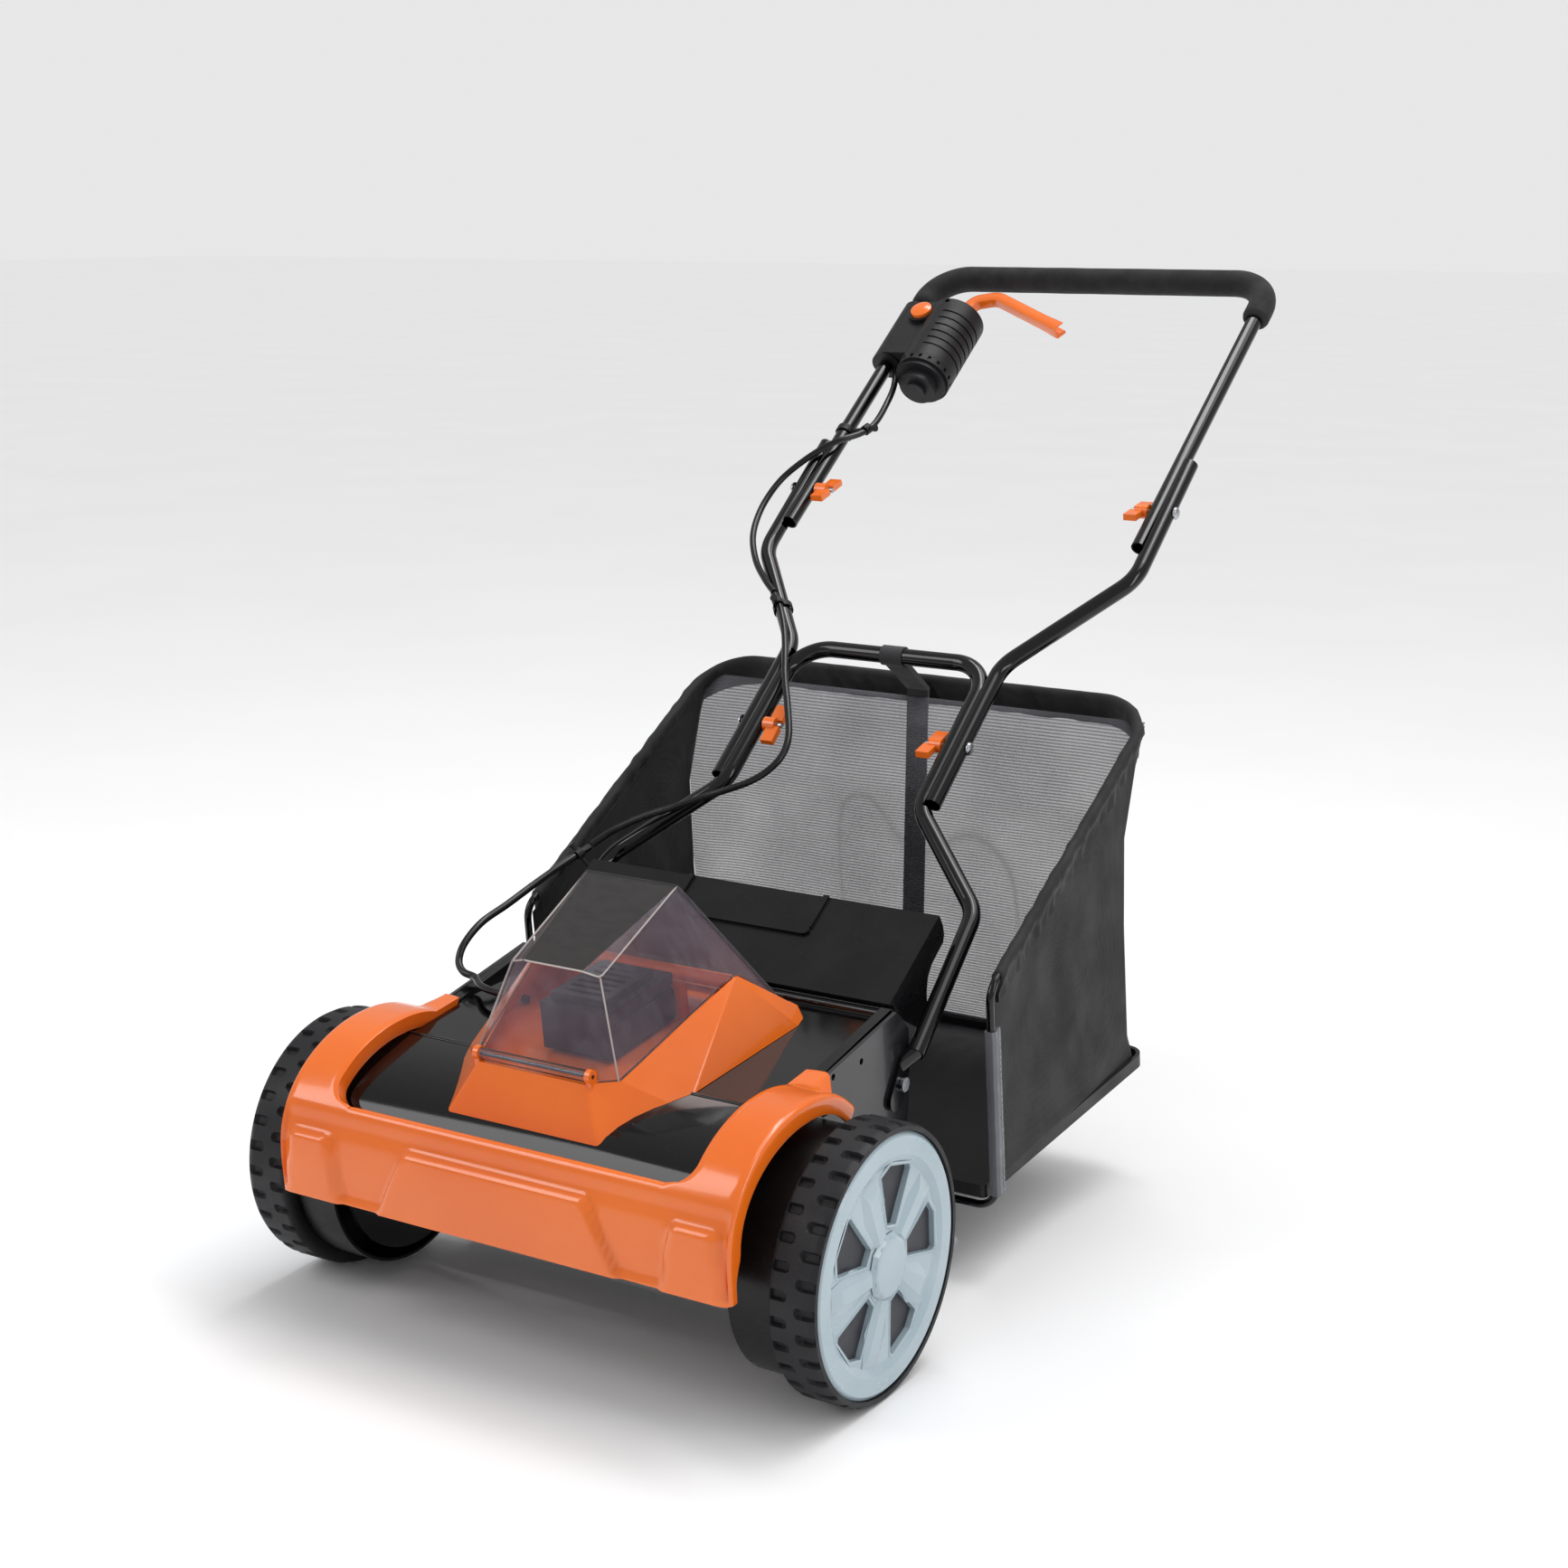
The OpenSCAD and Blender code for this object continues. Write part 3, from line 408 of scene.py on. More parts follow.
def make_materials():
    m = {}
    m["orange"] = plastic("orange_plastic", colour(232, 106, 22), colour(240, 116, 32), 0.18, 700.0, 0.03,
                          coat=0.35)
    m["gloss_black"] = plastic("gloss_black_plastic", colour(4, 4, 5), colour(8, 8, 9), 0.08, 900.0,
                               0.02, coat=0.15, specular=0.3)
    m["satin_black"] = plastic("satin_black_paint", colour(9, 9, 11), colour(15, 15, 17), 0.3, 1100.0,
                               0.1, specular=0.3)
    m["tube_black"] = plastic("black_powder_coat", colour(4, 4, 6), colour(9, 9, 12), 0.12, 400.0, 0.01,
                              coat=0.2, specular=0.35)
    m["moulded"] = plastic("moulded_black", colour(17, 17, 19), colour(26, 26, 29), 0.42, 1700.0, 0.2,
                           specular=0.3)
    m["side_grey"] = plastic("grey_gloss_panel", colour(22, 22, 25), colour(34, 34, 38), 0.18, 900.0, 0.04,
                             coat=0.3, specular=0.4)
    m["rubber"] = plastic("tyre_rubber", colour(19, 19, 22), colour(29, 29, 33), 0.5, 1300.0, 0.25,
                          specular=0.35)
    m["cap"] = plastic("hub_cap_plastic", colour(156, 174, 183), colour(172, 188, 196), 0.24, 900.0, 0.04,
                       coat=0.3)
    m["dark"] = plastic("dark_moulded", colour(44, 44, 49), colour(58, 58, 64), 0.4, 1200.0, 0.25,
                        specular=0.35)
    m["cable"] = plastic("cable_sheath", colour(7, 7, 9), colour(14, 14, 16), 0.25, 900.0, 0.04,
                         specular=0.4)
    m["foam"] = make_foam()
    m["steel"] = metal("zinc_steel", colour(150, 152, 156), colour(205, 207, 211), 0.24, (1.0, 12.0, 12.0))
    m["blade"] = metal("ground_blade", colour(120, 122, 126), colour(196, 198, 203), 0.3, (14.0, 1.0, 1.0))
    m["bracket"] = metal("dark_steel", colour(66, 67, 70), colour(104, 105, 110), 0.36, (1.0, 8.0, 8.0))
    m["fabric"] = woven("black_bag_cloth", colour(5, 5, 7), colour(15, 15, 18), 620.0, 0.05)
    m["webbing"] = woven("black_webbing", colour(18, 18, 20), colour(44, 44, 48), 300.0, 0.2)
    m["vinyl"] = plastic("grey_vinyl", colour(84, 85, 90), colour(112, 113, 119), 0.5, 600.0, 0.4)
    m["thread"] = woven("grey_thread", colour(150, 150, 156), colour(205, 205, 210), 900.0, 0.1)
    m["smoke"] = make_smoke()
    m["mesh"] = make_mesh()
    m["latch"] = plastic("textured_strip", colour(16, 16, 18), colour(28, 28, 31), 0.5, 2400.0, 0.6)
    # Painted highlight: the pale colour of the lines along the lid's edges.
    m["rim_line"] = plastic("painted_lid_edge_highlight", colour(176, 166, 158), colour(206, 197, 190), 0.3, 900.0, 0.05)
    return m


def make_foam():
    """Closed-cell foam: matt, with small pits."""
    s = Shader("foam_grip_black", 0.85, sheen=0.05)
    cells = s.node("ShaderNodeTexVoronoi", Scale=900.0)
    s.join(s.coords, cells.inputs["Vector"])
    pits = cells.outputs["Distance"]
    # Painted shade: the colour darkens in the pits, on top of a random change of tone.
    tone = s.math("ADD", s.math("MULTIPLY", pits, 0.4), s.noise(30.0, 5.0))
    s.base(s.blend(s.between(tone, 0.0, 1.0, 0.3, 1.1), colour(8, 8, 10), colour(24, 24, 27)))
    s.roughness(s.between(s.noise(60.0, 4.0), 0.75, 0.95))
    s.bump(pits, 0.35, 0.0006)
    s.bump(s.noise(120.0, 4.0), 0.2, 0.0008)
    return s.mat


def make_smoke():
    """Clear smoke-tinted plastic: its roof facet, which faces up, gets painted shade: it is nearly black
    inside and less see-through.
    """
    s = Shader("smoked_lid", 0.06, coat=0.4, coat_rough=0.03)
    # Painted shade: the roof, found by its up-facing normal, gets the nearly black colour and a less
    # see-through alpha.
    roof = s.between(s.facing("Z"), 0.0, 1.0, 0.84, 0.9)
    scuffs = s.between(s.noise(60.0, 6.0, stretch=(1.0, 3.0, 1.0)), 0.0, 1.0, 0.35, 0.75)
    clear = s.blend(scuffs, colour(120, 112, 124), colour(150, 142, 156))
    dark = s.blend(scuffs, colour(22, 19, 19), colour(40, 35, 34))
    s.base(s.blend(roof, clear, dark))
    s.roughness(s.between(s.noise(40.0, 4.0), 0.04, 0.12))
    s.alpha(s.math("ADD", s.math("MULTIPLY", roof, 0.72), s.between(s.noise(12.0, 3.0), 0.14, 0.22)))
    s.bump(s.noise(14.0, 2.0), 0.03)
    return s.mat


def make_mesh():
    """Fine see-through netting: horizontal and vertical yarns with open cells."""
    s = Shader("grey_netting", 0.7)
    rows = s.wave(98.0, "Z")
    columns = s.wave(230.0, "X")
    yarn = s.math("MAXIMUM", rows, s.math("MULTIPLY", columns, 0.6))
    slow = s.noise(7.0, 5.0)
    long_noise = s.noise(4.2, 1.5, stretch=(1.0, 1.0, 0.7))
    ridge = s.math("ABSOLUTE", s.math("SUBTRACT", long_noise, 0.5), 0.0)
    crease = s.between(ridge, 1.0, 0.0, 0.0, 0.06)
    cloth = s.blend(s.between(slow, 0.0, 1.0), colour(78, 78, 83), colour(112, 112, 118))
    lined = s.blend(s.math("MULTIPLY", rows, 0.45), cloth, colour(52, 52, 57))
    # Painted shade: dark lines along the creases, which are also made less see-through.
    s.base(s.blend(s.math("MULTIPLY", crease, 0.35), lined, colour(26, 26, 30)))
    open_share = s.math("ADD", s.math("MULTIPLY", yarn, 0.3), s.between(slow, 0.3, 0.42))
    s.alpha(s.math("MAXIMUM", open_share, s.math("MULTIPLY", crease, 0.55)))
    s.bump(s.noise(24.0, 5.0), 0.3, 0.003)
    s.bump(yarn, 0.3, 0.0005)
    return s.mat


MATERIALS = make_materials()

# The CAD nodes that stay, their material and the rounding of their edges in millimetres
KEPT = {
    "rear_deck": ("gloss_black", 0.8), "deflector": ("satin_black", 0.9),
    "side_plate_left": ("side_grey", 0.6),
    "side_plate_right": ("side_grey", 0.6), "drum_cover_left": ("satin_black", 1.0),
    "drum_cover_right": ("satin_black", 1.0), "battery_housing": ("orange", 0.8),
    "battery_terminal": ("orange", 0.6), "hinge_pin": ("bracket", 0.3), "motor": ("bracket", 0.8),
    "stub_axles": ("steel", 0.5), "bed_knife": ("blade", 0.2), "bed_bar": ("bracket", 0.4),
    "drive_belt": ("rubber", 0.2), "reel_bushes": ("steel", 0.4), "lower_handle": ("tube_black", 0.4),
    "frame_screws": ("steel", 0.5), "lower_bolts": ("steel", 0.3), "cable_clip_low": ("moulded", 0.4),
    "roller_arms": ("bracket", 0.6), "roller_rod": ("steel", 0.4), "rear_roller": ("dark", 0.8),
    "wheel_core_left": ("dark", 0.6), "wheel_core_right": ("dark", 0.6),
    "hub_cap_left": ("cap", 0.8), "hub_cap_right": ("cap", 0.8),
    "reel_shaft": ("steel", 0.3), "reel_blades": ("blade", 0.2), "reel_spiders": ("bracket", 0.4),
    "reel_pulley": ("dark", 0.5), "motor_pulley": ("steel", 0.3), "battery_pack": ("moulded", 0.8),
    "battery_lid": ("smoke", 0.5), "lid_latch": ("latch", 0.4),
    "mid_tube_left": ("tube_black", 0.3), "mid_tube_right": ("tube_black", 0.3),
    "upper_bolts": ("steel", 0.3), "cable_clip_mid": ("moulded", 0.4),
    "wing_knob_low_left": ("orange", 1.6), "wing_knob_low_right": ("orange", 1.6),
    "wing_knob_top_left": ("orange", 1.6), "wing_knob_top_right": ("orange", 1.6),
    "upper_handle": ("tube_black", 0.3), "switch_box": ("moulded", 0.9), "switch_cap": ("moulded", 0.9),
    "cable_clip_top": ("moulded", 0.4), "start_button": ("orange", 0.8),
    "catcher_frame": ("tube_black", 0.2), "catcher_tray": ("moulded", 0.8), "catcher_strap": ("webbing", 0.4),
}


def finish_cad_nodes():
    """Materials and rounded edges for the CAD nodes that stay in view."""
    for name, (material, width) in KEPT.items():
        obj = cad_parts[name]
        obj.data.materials.clear()
        obj.data.materials.append(MATERIALS[material])
        soften(obj, "soft_edges", width, 32)


# ---------------------------------------------------------------- camera, floor and light

CAMERA_PLACE = (1.3183, -2.23625, 1.0178)
CAMERA_TILT = 77.16
CAMERA_PAN = 31.98
CAMERA_LENS = 57.9
FLOOR_REACH = 40.0
LIT_STRENGTH = 0.5
SEEN_STRENGTH = 0.8


def make_camera():
    data = bpy.data.cameras.new("camera")
    data.lens = CAMERA_LENS
    data.sensor_width = 36
    camera = bpy.data.objects.new("camera", data)
    camera.location = CAMERA_PLACE
    camera.rotation_euler = (math.radians(CAMERA_TILT), 0, math.radians(CAMERA_PAN))
    bpy.context.scene.collection.objects.link(camera)
    bpy.context.scene.camera = camera


def soft_light(name, place, aim, size, power):
    """A rectangular studio lamp that points at a place."""
    data = bpy.data.lights.new(name, "AREA")
    data.shape = "RECTANGLE"
    data.size, data.size_y = size
    data.energy = power
    light = bpy.data.objects.new(name, data)
    light.location = place
    light.rotation_euler = (Vector(aim) - Vector(place)).to_track_quat("-Z", "Y").to_euler()
    bpy.context.scene.collection.objects.link(light)


def make_floor():
    s = Shader("pale_floor", 0.9)
    s.base(s.blend(s.noise(2.0), colour(244, 244, 245), colour(250, 250, 251)))
    width = FLOOR_REACH * 2
    verts, faces = patch(4, 4, lambda u, v: Vector(((u - 0.5) * width, (v - 0.5) * width, 0)))
    piece("floor", verts, faces, None, s.mat, solid=False)


def make_world():
    """A white surrounding that lights the object less than it shows behind it."""
    world = bpy.data.worlds.new("studio")
    world.use_nodes = True
    tree = world.node_tree
    shade = tree.nodes["Background"]
    shade.inputs["Color"].default_value = (1, 1, 1, 1)
    seen = tree.nodes.new("ShaderNodeLightPath").outputs["Is Camera Ray"]
    strength = tree.nodes.new("ShaderNodeMapRange")
    strength.inputs["To Min"].default_value = LIT_STRENGTH
    strength.inputs["To Max"].default_value = SEEN_STRENGTH
    tree.links.new(seen, strength.inputs["Value"])
    tree.links.new(strength.outputs["Result"], shade.inputs["Strength"])
    bpy.context.scene.world = world


def make_lights():
    """A wide soft light from above and three lamps for the highlights."""
    sky = bpy.data.lights.new("sky", "SUN")
    sky.energy = 1.2
    sky.angle = math.radians(50)
    lamp = bpy.data.objects.new("sky", sky)
    lamp.rotation_euler = (math.radians(-18), math.radians(14), 0)
    bpy.context.scene.collection.objects.link(lamp)
    soft_light("key", (-1.9, -2.3, 2.3), (0, 0, 0.3), (1.1, 1.9), 26)
    soft_light("side", (2.9, -0.3, 1.7), (0, 0, 0.4), (0.5, 2.2), 16)
    soft_light("top", (0.2, 0.7, 3.0), (0, 0.1, 0.4), (2.2, 0.5), 22)


def make_stage():
    make_floor()
    make_world()
    make_lights()
    bpy.context.scene.view_settings.view_transform = "Standard"


# ---------------------------------------------------------------- control cable

CABLE_R = 3.8
CABLE_SIDES = 12
TOP_LOOP = [
    (-207, 922, 830), (-194, 897, 812), (-184, 865, 795), (-183, 833, 771), (-190, 812, 760),
    (-205, 789, 753), (-222, 775, 743), (-243, 757, 725), (-258, 737, 705), (-262, 706, 678),
    (-251, 670, 651), (-227, 638, 627), (-198, 612, 610), (-177, 598, 599),
]
LOW_LOOP = [
    (-175, 596, 597), (-154, 576, 582), (-131, 547, 558), (-104, 504, 525), (-82, 474, 499),
    (-64, 447, 473), (-61, 428, 455), (-70, 411, 440), (-86, 398, 429), (-108, 388, 420),
    (-128, 380, 412), (-154, 364, 401.5), (-184, 352, 390), (-214, 336, 374), (-230, 318, 360),
]
FRONT_LOOP = [
    (-231, 316, 358), (-236, 300, 352), (-238, 270, 345), (-236, 222, 336), (-236, 180, 326),
    (-236, 138, 317), (-236, 110, 302), (-233, 97, 288), (-222, 90, 280), (-205, 87, 278),
    (-184, 70, 277), (-160, 62, 277), (-136, 60, 277), (-118, 60, 277),
]


def cable_run(name, node, points, body, blend_with=None):
    """One stretch of the cable; a stretch given blend_with, where it crosses a fold, rides on no body."""
    line = spaced(spline([at(*p) for p in points], 8), 0.004)
    shape = ring(CABLE_R * MM, CABLE_SIDES)
    verts, faces = sweep(line, lambda i: shape)
    obj = piece(name, verts, faces, None if blend_with else body, MATERIALS["cable"])
    if blend_with:
        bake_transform(obj)
    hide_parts(node)


def make_cable():
    cable_run("cable_top", "cable_top_loop", TOP_LOOP, "grip_handle", blend_with="mid_handle")
    cable_run("cable_low", "cable_low_loop", LOW_LOOP, "mid_handle", blend_with="mower")
    cable_run("cable_front", "cable_front_loop", FRONT_LOOP, "mower")


# ---------------------------------------------------------------- foam grip

GRIP_R = 15.5
TOP_X = 219.5
GRIP_Y = 389.4
GRIP_BEND = 46
GRIP_BORE_R = 9.2
GRIP_SIDES = 32


def make_foam_grip():
    """A sleeve with rounded ends."""
    corners = [top_at(TOP_X, 322, 0), top_at(TOP_X, GRIP_Y, 0), top_at(-TOP_X, GRIP_Y, 0),
               top_at(-TOP_X, 332, 0)]
    line = spaced(rounded(corners, GRIP_BEND * MM, 16), 0.003)
    last = len(line) - 1

    def outer(i):
        end = min(i, last - i)
        shrink = 1 - 0.22 * (1 - min(end / 2, 1.0)) ** 2
        lump = 1 + 0.012 * noise.noise(line[i] * 40)
        return ring(GRIP_R * MM * shrink * lump, GRIP_SIDES)

    verts, faces = sweep(line, outer, closed_ends=False)
    inner = len(verts)
    add_part(verts, faces, *sweep(line, lambda i: ring(GRIP_BORE_R * MM, GRIP_SIDES), closed_ends=False))
    for start in (0, last * GRIP_SIDES):
        for k in range(GRIP_SIDES):
            a, b = start + k, start + (k + 1) % GRIP_SIDES
            faces.append((a, b, inner + b, inner + a))
    obj = piece("foam_sleeve", verts, faces, "grip_handle", MATERIALS["foam"])
    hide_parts("foam_grip")


# ---------------------------------------------------------------- bail lever

BAIL_PATH = [(-162, 306), (-150, 344), (-122, 352), (-16, 296)]
BAIL_OUTLINE = [
    (-7.0, -4.5), (-5.6, -7.0), (0.0, -7.8), (5.6, -7.0), (7.0, -4.5), (7.0, 5.5), (6.2, 6.6), (5.0, 6.6),
    (4.4, 5.4), (4.2, -2.6), (0.0, -4.2), (-4.2, -2.6), (-4.4, 5.4), (-5.0, 6.6), (-6.2, 6.6), (-7.0, 5.5),
]


def make_bail():
    """A moulded channel, open towards the grip, that swells a little at its rounded free end."""
    corners = [top_at(x, y, 0) for x, y in BAIL_PATH]
    line = spaced(rounded(corners, [0, 14 * MM, 22 * MM, 0], 10), 0.0025)
    across = (top_at(0, 0, 1) - top_at(0, 0, 0)).normalized()
    last = len(line) - 1
    verts = []
    for i, p in enumerate(line):
        ahead = (line[min(i + 1, last)] - line[max(i - 1, 0)]).normalized()
        back = across.cross(ahead).normalized()
        grow = 1 + 0.12 * smooth((i - last + 14) / 14)
        for a, b in BAIL_OUTLINE:
            hollow = ahead * (-3.2 * MM * (1 - (a / 7) ** 2)) if i > last - 2 and b > -5 else Vector()
            verts.append(p + across * a * grow * MM + back * b * grow * MM + hollow)
    faces = bands(len(line), len(BAIL_OUTLINE))
    obj = piece("bail_channel", verts, faces, "bail", MATERIALS["orange"], sharp=50)
    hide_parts("bail_lever")


# ---------------------------------------------------------------- front fascia

FASCIA_X = 250
FASCIA_T = 3.0
FASCIA_RIM = 5
WINDOW_X = 199
WINDOW_CORNER = 24
WINDOW_LIP = 1.6
WINDOW_WALL = 16.0
WINDOW_FRONT_Z = 218
SIDE_COLUMNS = 12
MIDDLE_COLUMNS = 88


def bezier(points, steps):
    """A curve drawn towards its middle points, in (y, z)."""
    line = []
    for k in range(steps + 1):
        level = list(points)
        while len(level) > 1:
            level = [tuple(mix(a, b, k / steps) for a, b in zip(p, q)) for p, q in zip(level, level[1:])]
        line.append(level[0])
    return line


def fascia_profile():
    """Points and outward normals along the fascia's side view, from its lower edge to its rear end."""
    line = [(-148, 127), (-151, 160)]
    line += bezier([(-151, 172), (-150, 222), (-104, 262), (-40, 269)], 24)
    line += bezier([(-22, 270), (18, 270), (36, 258), (56, 242)], 12)
    line = [(p.y, p.z) for p in spaced([Vector((0, y, z)) for y, z in line], 3.5)]
    result = []
    for i, p in enumerate(line):
        q, r = line[max(i - 1, 0)], line[min(i + 1, len(line) - 1)]
        length = math.hypot(r[0] - q[0], r[1] - q[1])
        result.append((p, (-(r[1] - q[1]) / length, (r[0] - q[0]) / length)))
    return result


def panel(x, z, centre, half_low, half_top, z_top):
    """1 on a raised trapezium, falling to 0 over its bevelled edge."""
    half = half_low + (half_top - half_low) * min(max((z - 127) / (z_top - 127), 0), 1)
    inside = min(half - abs(x - centre), z_top - z)
    return smooth(inside / 5.5)


def fascia_height(x, z):
    """The face lies back between three raised panels."""
    raised = max(panel(x, z, 0, 137, 102, 195), panel(abs(x), z, 212, 36, 25, 192))
    recess = 4.5 * (1 - smooth((z - 198) / 18)) * smooth((z - 129) / 4)
    return -recess + raised * (recess + 3.0)


def deck_line(y):
    """Height of the deck's top between its crease and its rear edge."""
    return 252 + (y + 20) * 27 / 209


def fascia_side(edge, skirt):
    """One side in (x, drop): the window's wall, the face, the rounded rim and the skirt."""
    face_end = FASCIA_X - FASCIA_RIM
    side = [(edge, -WINDOW_WALL), (edge, -WINDOW_WALL / 2)]
    side += [(edge + (face_end - edge) * k / SIDE_COLUMNS, 0.0) for k in range(SIDE_COLUMNS + 1)]
    for a in (math.radians(d) for d in (30, 60, 90)):
        side.append((face_end + FASCIA_RIM * math.sin(a), FASCIA_RIM * math.cos(a) - FASCIA_RIM))
    return side + [(FASCIA_X, -FASCIA_RIM - skirt * k / 3) for k in (1, 2, 3)]


def fascia_sides(place, normal, past_front, to_end):
    """Both sides at one row; past_front and to_end count the rows to the window's front and the end."""
    y, z = place
    turn = min(max(past_front / 7, 0.0), 1.0)
    edge = WINDOW_X - WINDOW_CORNER + WINDOW_CORNER * math.sqrt(1 - (1 - turn) ** 2)
    skirt = 5 + 8 * smooth((z - 140) / 30)
    ear = smooth((14 - to_end) / 4)
    points = []
    for sign in (-1, 1):
        for x, drop in fascia_side(edge, skirt):
            on_face = drop == 0
            lift = fascia_height(x, z) * smooth((FASCIA_X - x) / 6 + 0.2) if on_face else 0.0
            lift += 2.5 * ear * smooth((x - 205) / 3) * smooth((224 - x) / 3)
            lip = WINDOW_LIP * smooth(1 - (x - edge) / 5) if on_face and past_front > 0 else 0.0
            h = lift + drop - lip
            up = z + normal[1] * h
            if x < 226 and y > -18:
                up = mix(up, max(up, deck_line(y) + 5 + drop), smooth((226 - x) / 5))
            points.append(at(sign * x, y + normal[0] * h, up))
    return points


def fascia_mesh():
    """Rows along the side view; the face is whole in front and parts at the window."""
    profile = fascia_profile()
    front = next(i for i, (place, _) in enumerate(profile) if place[1] > WINDOW_FRONT_Z)
    inner = WINDOW_X - WINDOW_CORNER
    columns = [-inner + 2 * inner * k / MIDDLE_COLUMNS for k in range(MIDDLE_COLUMNS + 1)]
    verts, faces, rows = [], [], []

    def add_row(points):
        verts.extend(points)
        return list(range(len(verts) - len(points), len(verts)))

    def join_rows(low, high):
        faces.extend((low[k], low[k + 1], high[k + 1], high[k]) for k in range(len(low) - 1))

    for i, ((y, z), n) in enumerate(profile):
        sides = add_row(fascia_sides((y, z), n, i - front, len(profile) - i))
        middle = []
        if i <= front:
            lip = WINDOW_LIP if i == front else 0
            heights = [fascia_height(x, z) - lip for x in columns]
            middle = add_row([at(x, y + n[0] * h, z + n[1] * h) for x, h in zip(columns, heights)])
        rows.append((sides, middle))
    (y, z), n = profile[front]
    above = rows[front][1]
    for drop in (-WINDOW_WALL / 2, -WINDOW_WALL):
        back = (drop + WINDOW_LIP) * 0.5
        below = add_row([at(x, y + n[0] * drop - back, z + n[1] * drop) for x in columns])
        join_rows(above, below)
        above = below
    half = len(rows[0][0]) // 2
    for i, ((sides, middle), (next_sides, next_middle)) in enumerate(zip(rows, rows[1:])):
        wall_points = 0 if i >= front else 2
        for first in (0, half):
            part = slice(first + wall_points, first + half)
            join_rows(sides[part], next_sides[part])
        if next_middle:
            join_rows(middle, next_middle)
    return verts, faces


def clean_shell(obj):
    """Deletes loose points, joins doubles and turns the faces outwards, to the front."""
    bm = bmesh.new()
    bm.from_mesh(obj.data)
    bmesh.ops.delete(bm, geom=[v for v in bm.verts if not v.link_faces], context="VERTS")
    bmesh.ops.remove_doubles(bm, verts=bm.verts, dist=0.05 * MM)
    bmesh.ops.recalc_face_normals(bm, faces=bm.faces)
    if sum(f.normal.y for f in bm.faces) > 0:
        bmesh.ops.reverse_faces(bm, faces=bm.faces)
    bm.to_mesh(obj.data)
    bm.free()


def make_fascia():
    verts, faces = fascia_mesh()
    obj = piece("fascia_shell", verts, faces, "mower", MATERIALS["orange"], sharp=60, solid=False)
    clean_shell(obj)
    thicken(obj, "wall", FASCIA_T, -1)
    soften(obj, "rim", 0.8, 60)
    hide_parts("front_fascia")


# ---------------------------------------------------------------- cover over the reel

COVER_X = 213
CREASE = (-20, 252)


def prism(name, outline, x0, x1, body, material, sharp=35):
    """An outline in (y, z) drawn out from x0 to x1."""
    n = len(outline)
    verts = [at(x, y, z) for x in (x0, x1) for y, z in outline]
    faces = [(i, (i + 1) % n, n + (i + 1) % n, n + i) for i in range(n)]
    faces += [tuple(range(n)), tuple(n + i for i in reversed(range(n)))]
    return piece(name, verts, faces, body, material, sharp=sharp)


def make_cover():
    """The glossy curved cover, turned down at its front, with the bead where it meets the deck."""
    top = [(-124, 192), (-122, 199)] + bezier([(-117, 209), (-100, 234), (-60, 246), CREASE], 28)
    under = [(y + 2, z - 3) for y, z in reversed(top)]
    cover = prism("cover_shell", top + under, -COVER_X, COVER_X, "mower", MATERIALS["gloss_black"], sharp=60)
    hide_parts("reel_cover")
    soften(cover, "rim", 0.8, 60)
    y, z = CREASE
    angles = [math.radians(d) for d in range(0, 181, 20)]
    arc = [(y + 1.5 + 2.6 * math.cos(a), z + 1.5 * math.sin(a)) for a in angles]
    prism("cover_bead", arc, -COVER_X + 12, COVER_X - 12, "mower", MATERIALS["gloss_black"], sharp=60)


# ---------------------------------------------------------------- wheels

TRACK_X = 316
TYRE_IN = TRACK_X - 46.5
WHEEL_R = 125
NOTCHES = 32
NOTCH_REACH = 14.5
NOTCH_DEPTH = 4.6


def notch_depth(x, around, pitch):
    """Depth of the tread's U-shaped notches: the outer row opens to the cap, the inner one to the drum."""
    depth = 0.0
    for phase, open_edge, inward in ((0.0, TRACK_X, -1), (pitch / 2, TYRE_IN, 1)):
        off = (around - phase + pitch / 2) % pitch - pitch / 2
        along = (x - open_edge) * inward
        reach = math.hypot(off, max(along - NOTCH_REACH, 0.0))
        if 3.0 < along < 19.5:
            depth = max(depth, NOTCH_DEPTH * smooth((4.9 - reach) / 1.5))
    return depth


def make_tyre(side):
    """The tread is turned from an outline of (radius, width) and notched as it goes round."""
    pitch = 2 * math.pi * WHEEL_R / NOTCHES
    half = [0.0, 2.2, 3.4, 4.9, pitch / 2 - 4.9, pitch / 2 - 3.4, pitch / 2 - 2.2]
    steps = half + [pitch / 2] + [pitch - d for d in reversed(half[1:])]
    turns = [pitch * k + d for k in range(NOTCHES) for d in steps]
    columns = [6.5, 9, 12, 15] + [16.5 + 1.5 * k for k in range(11)] + [34, 37, 39.5]
    tread = [(112, 0), (119, 0.5), (122, 1.2), (124.2, 3.0), (125, 4.5)]
    tread += [(WHEEL_R, x) for x in columns]
    tread += [(125, 41), (124.4, 43.2), (122.8, 46.5), (118.4, 46.5), (117.9, 34.5), (105, 32.5), (105, 3)]
    verts = []
    for around in turns:
        a = around / WHEEL_R
        for r, across in tread:
            x = TYRE_IN + across
            cut = r - (notch_depth(x, around, pitch) if r > 121 else 0.0)
            verts.append(at(side * x, cut * math.cos(a), AXLE_Z + cut * math.sin(a)))
    faces = round_bands(len(turns), len(tread))
    name = hand(side)
    obj = piece("tread_" + name, verts, faces, "wheel_" + name, MATERIALS["rubber"], sharp=42)
    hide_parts("tyre_" + name)


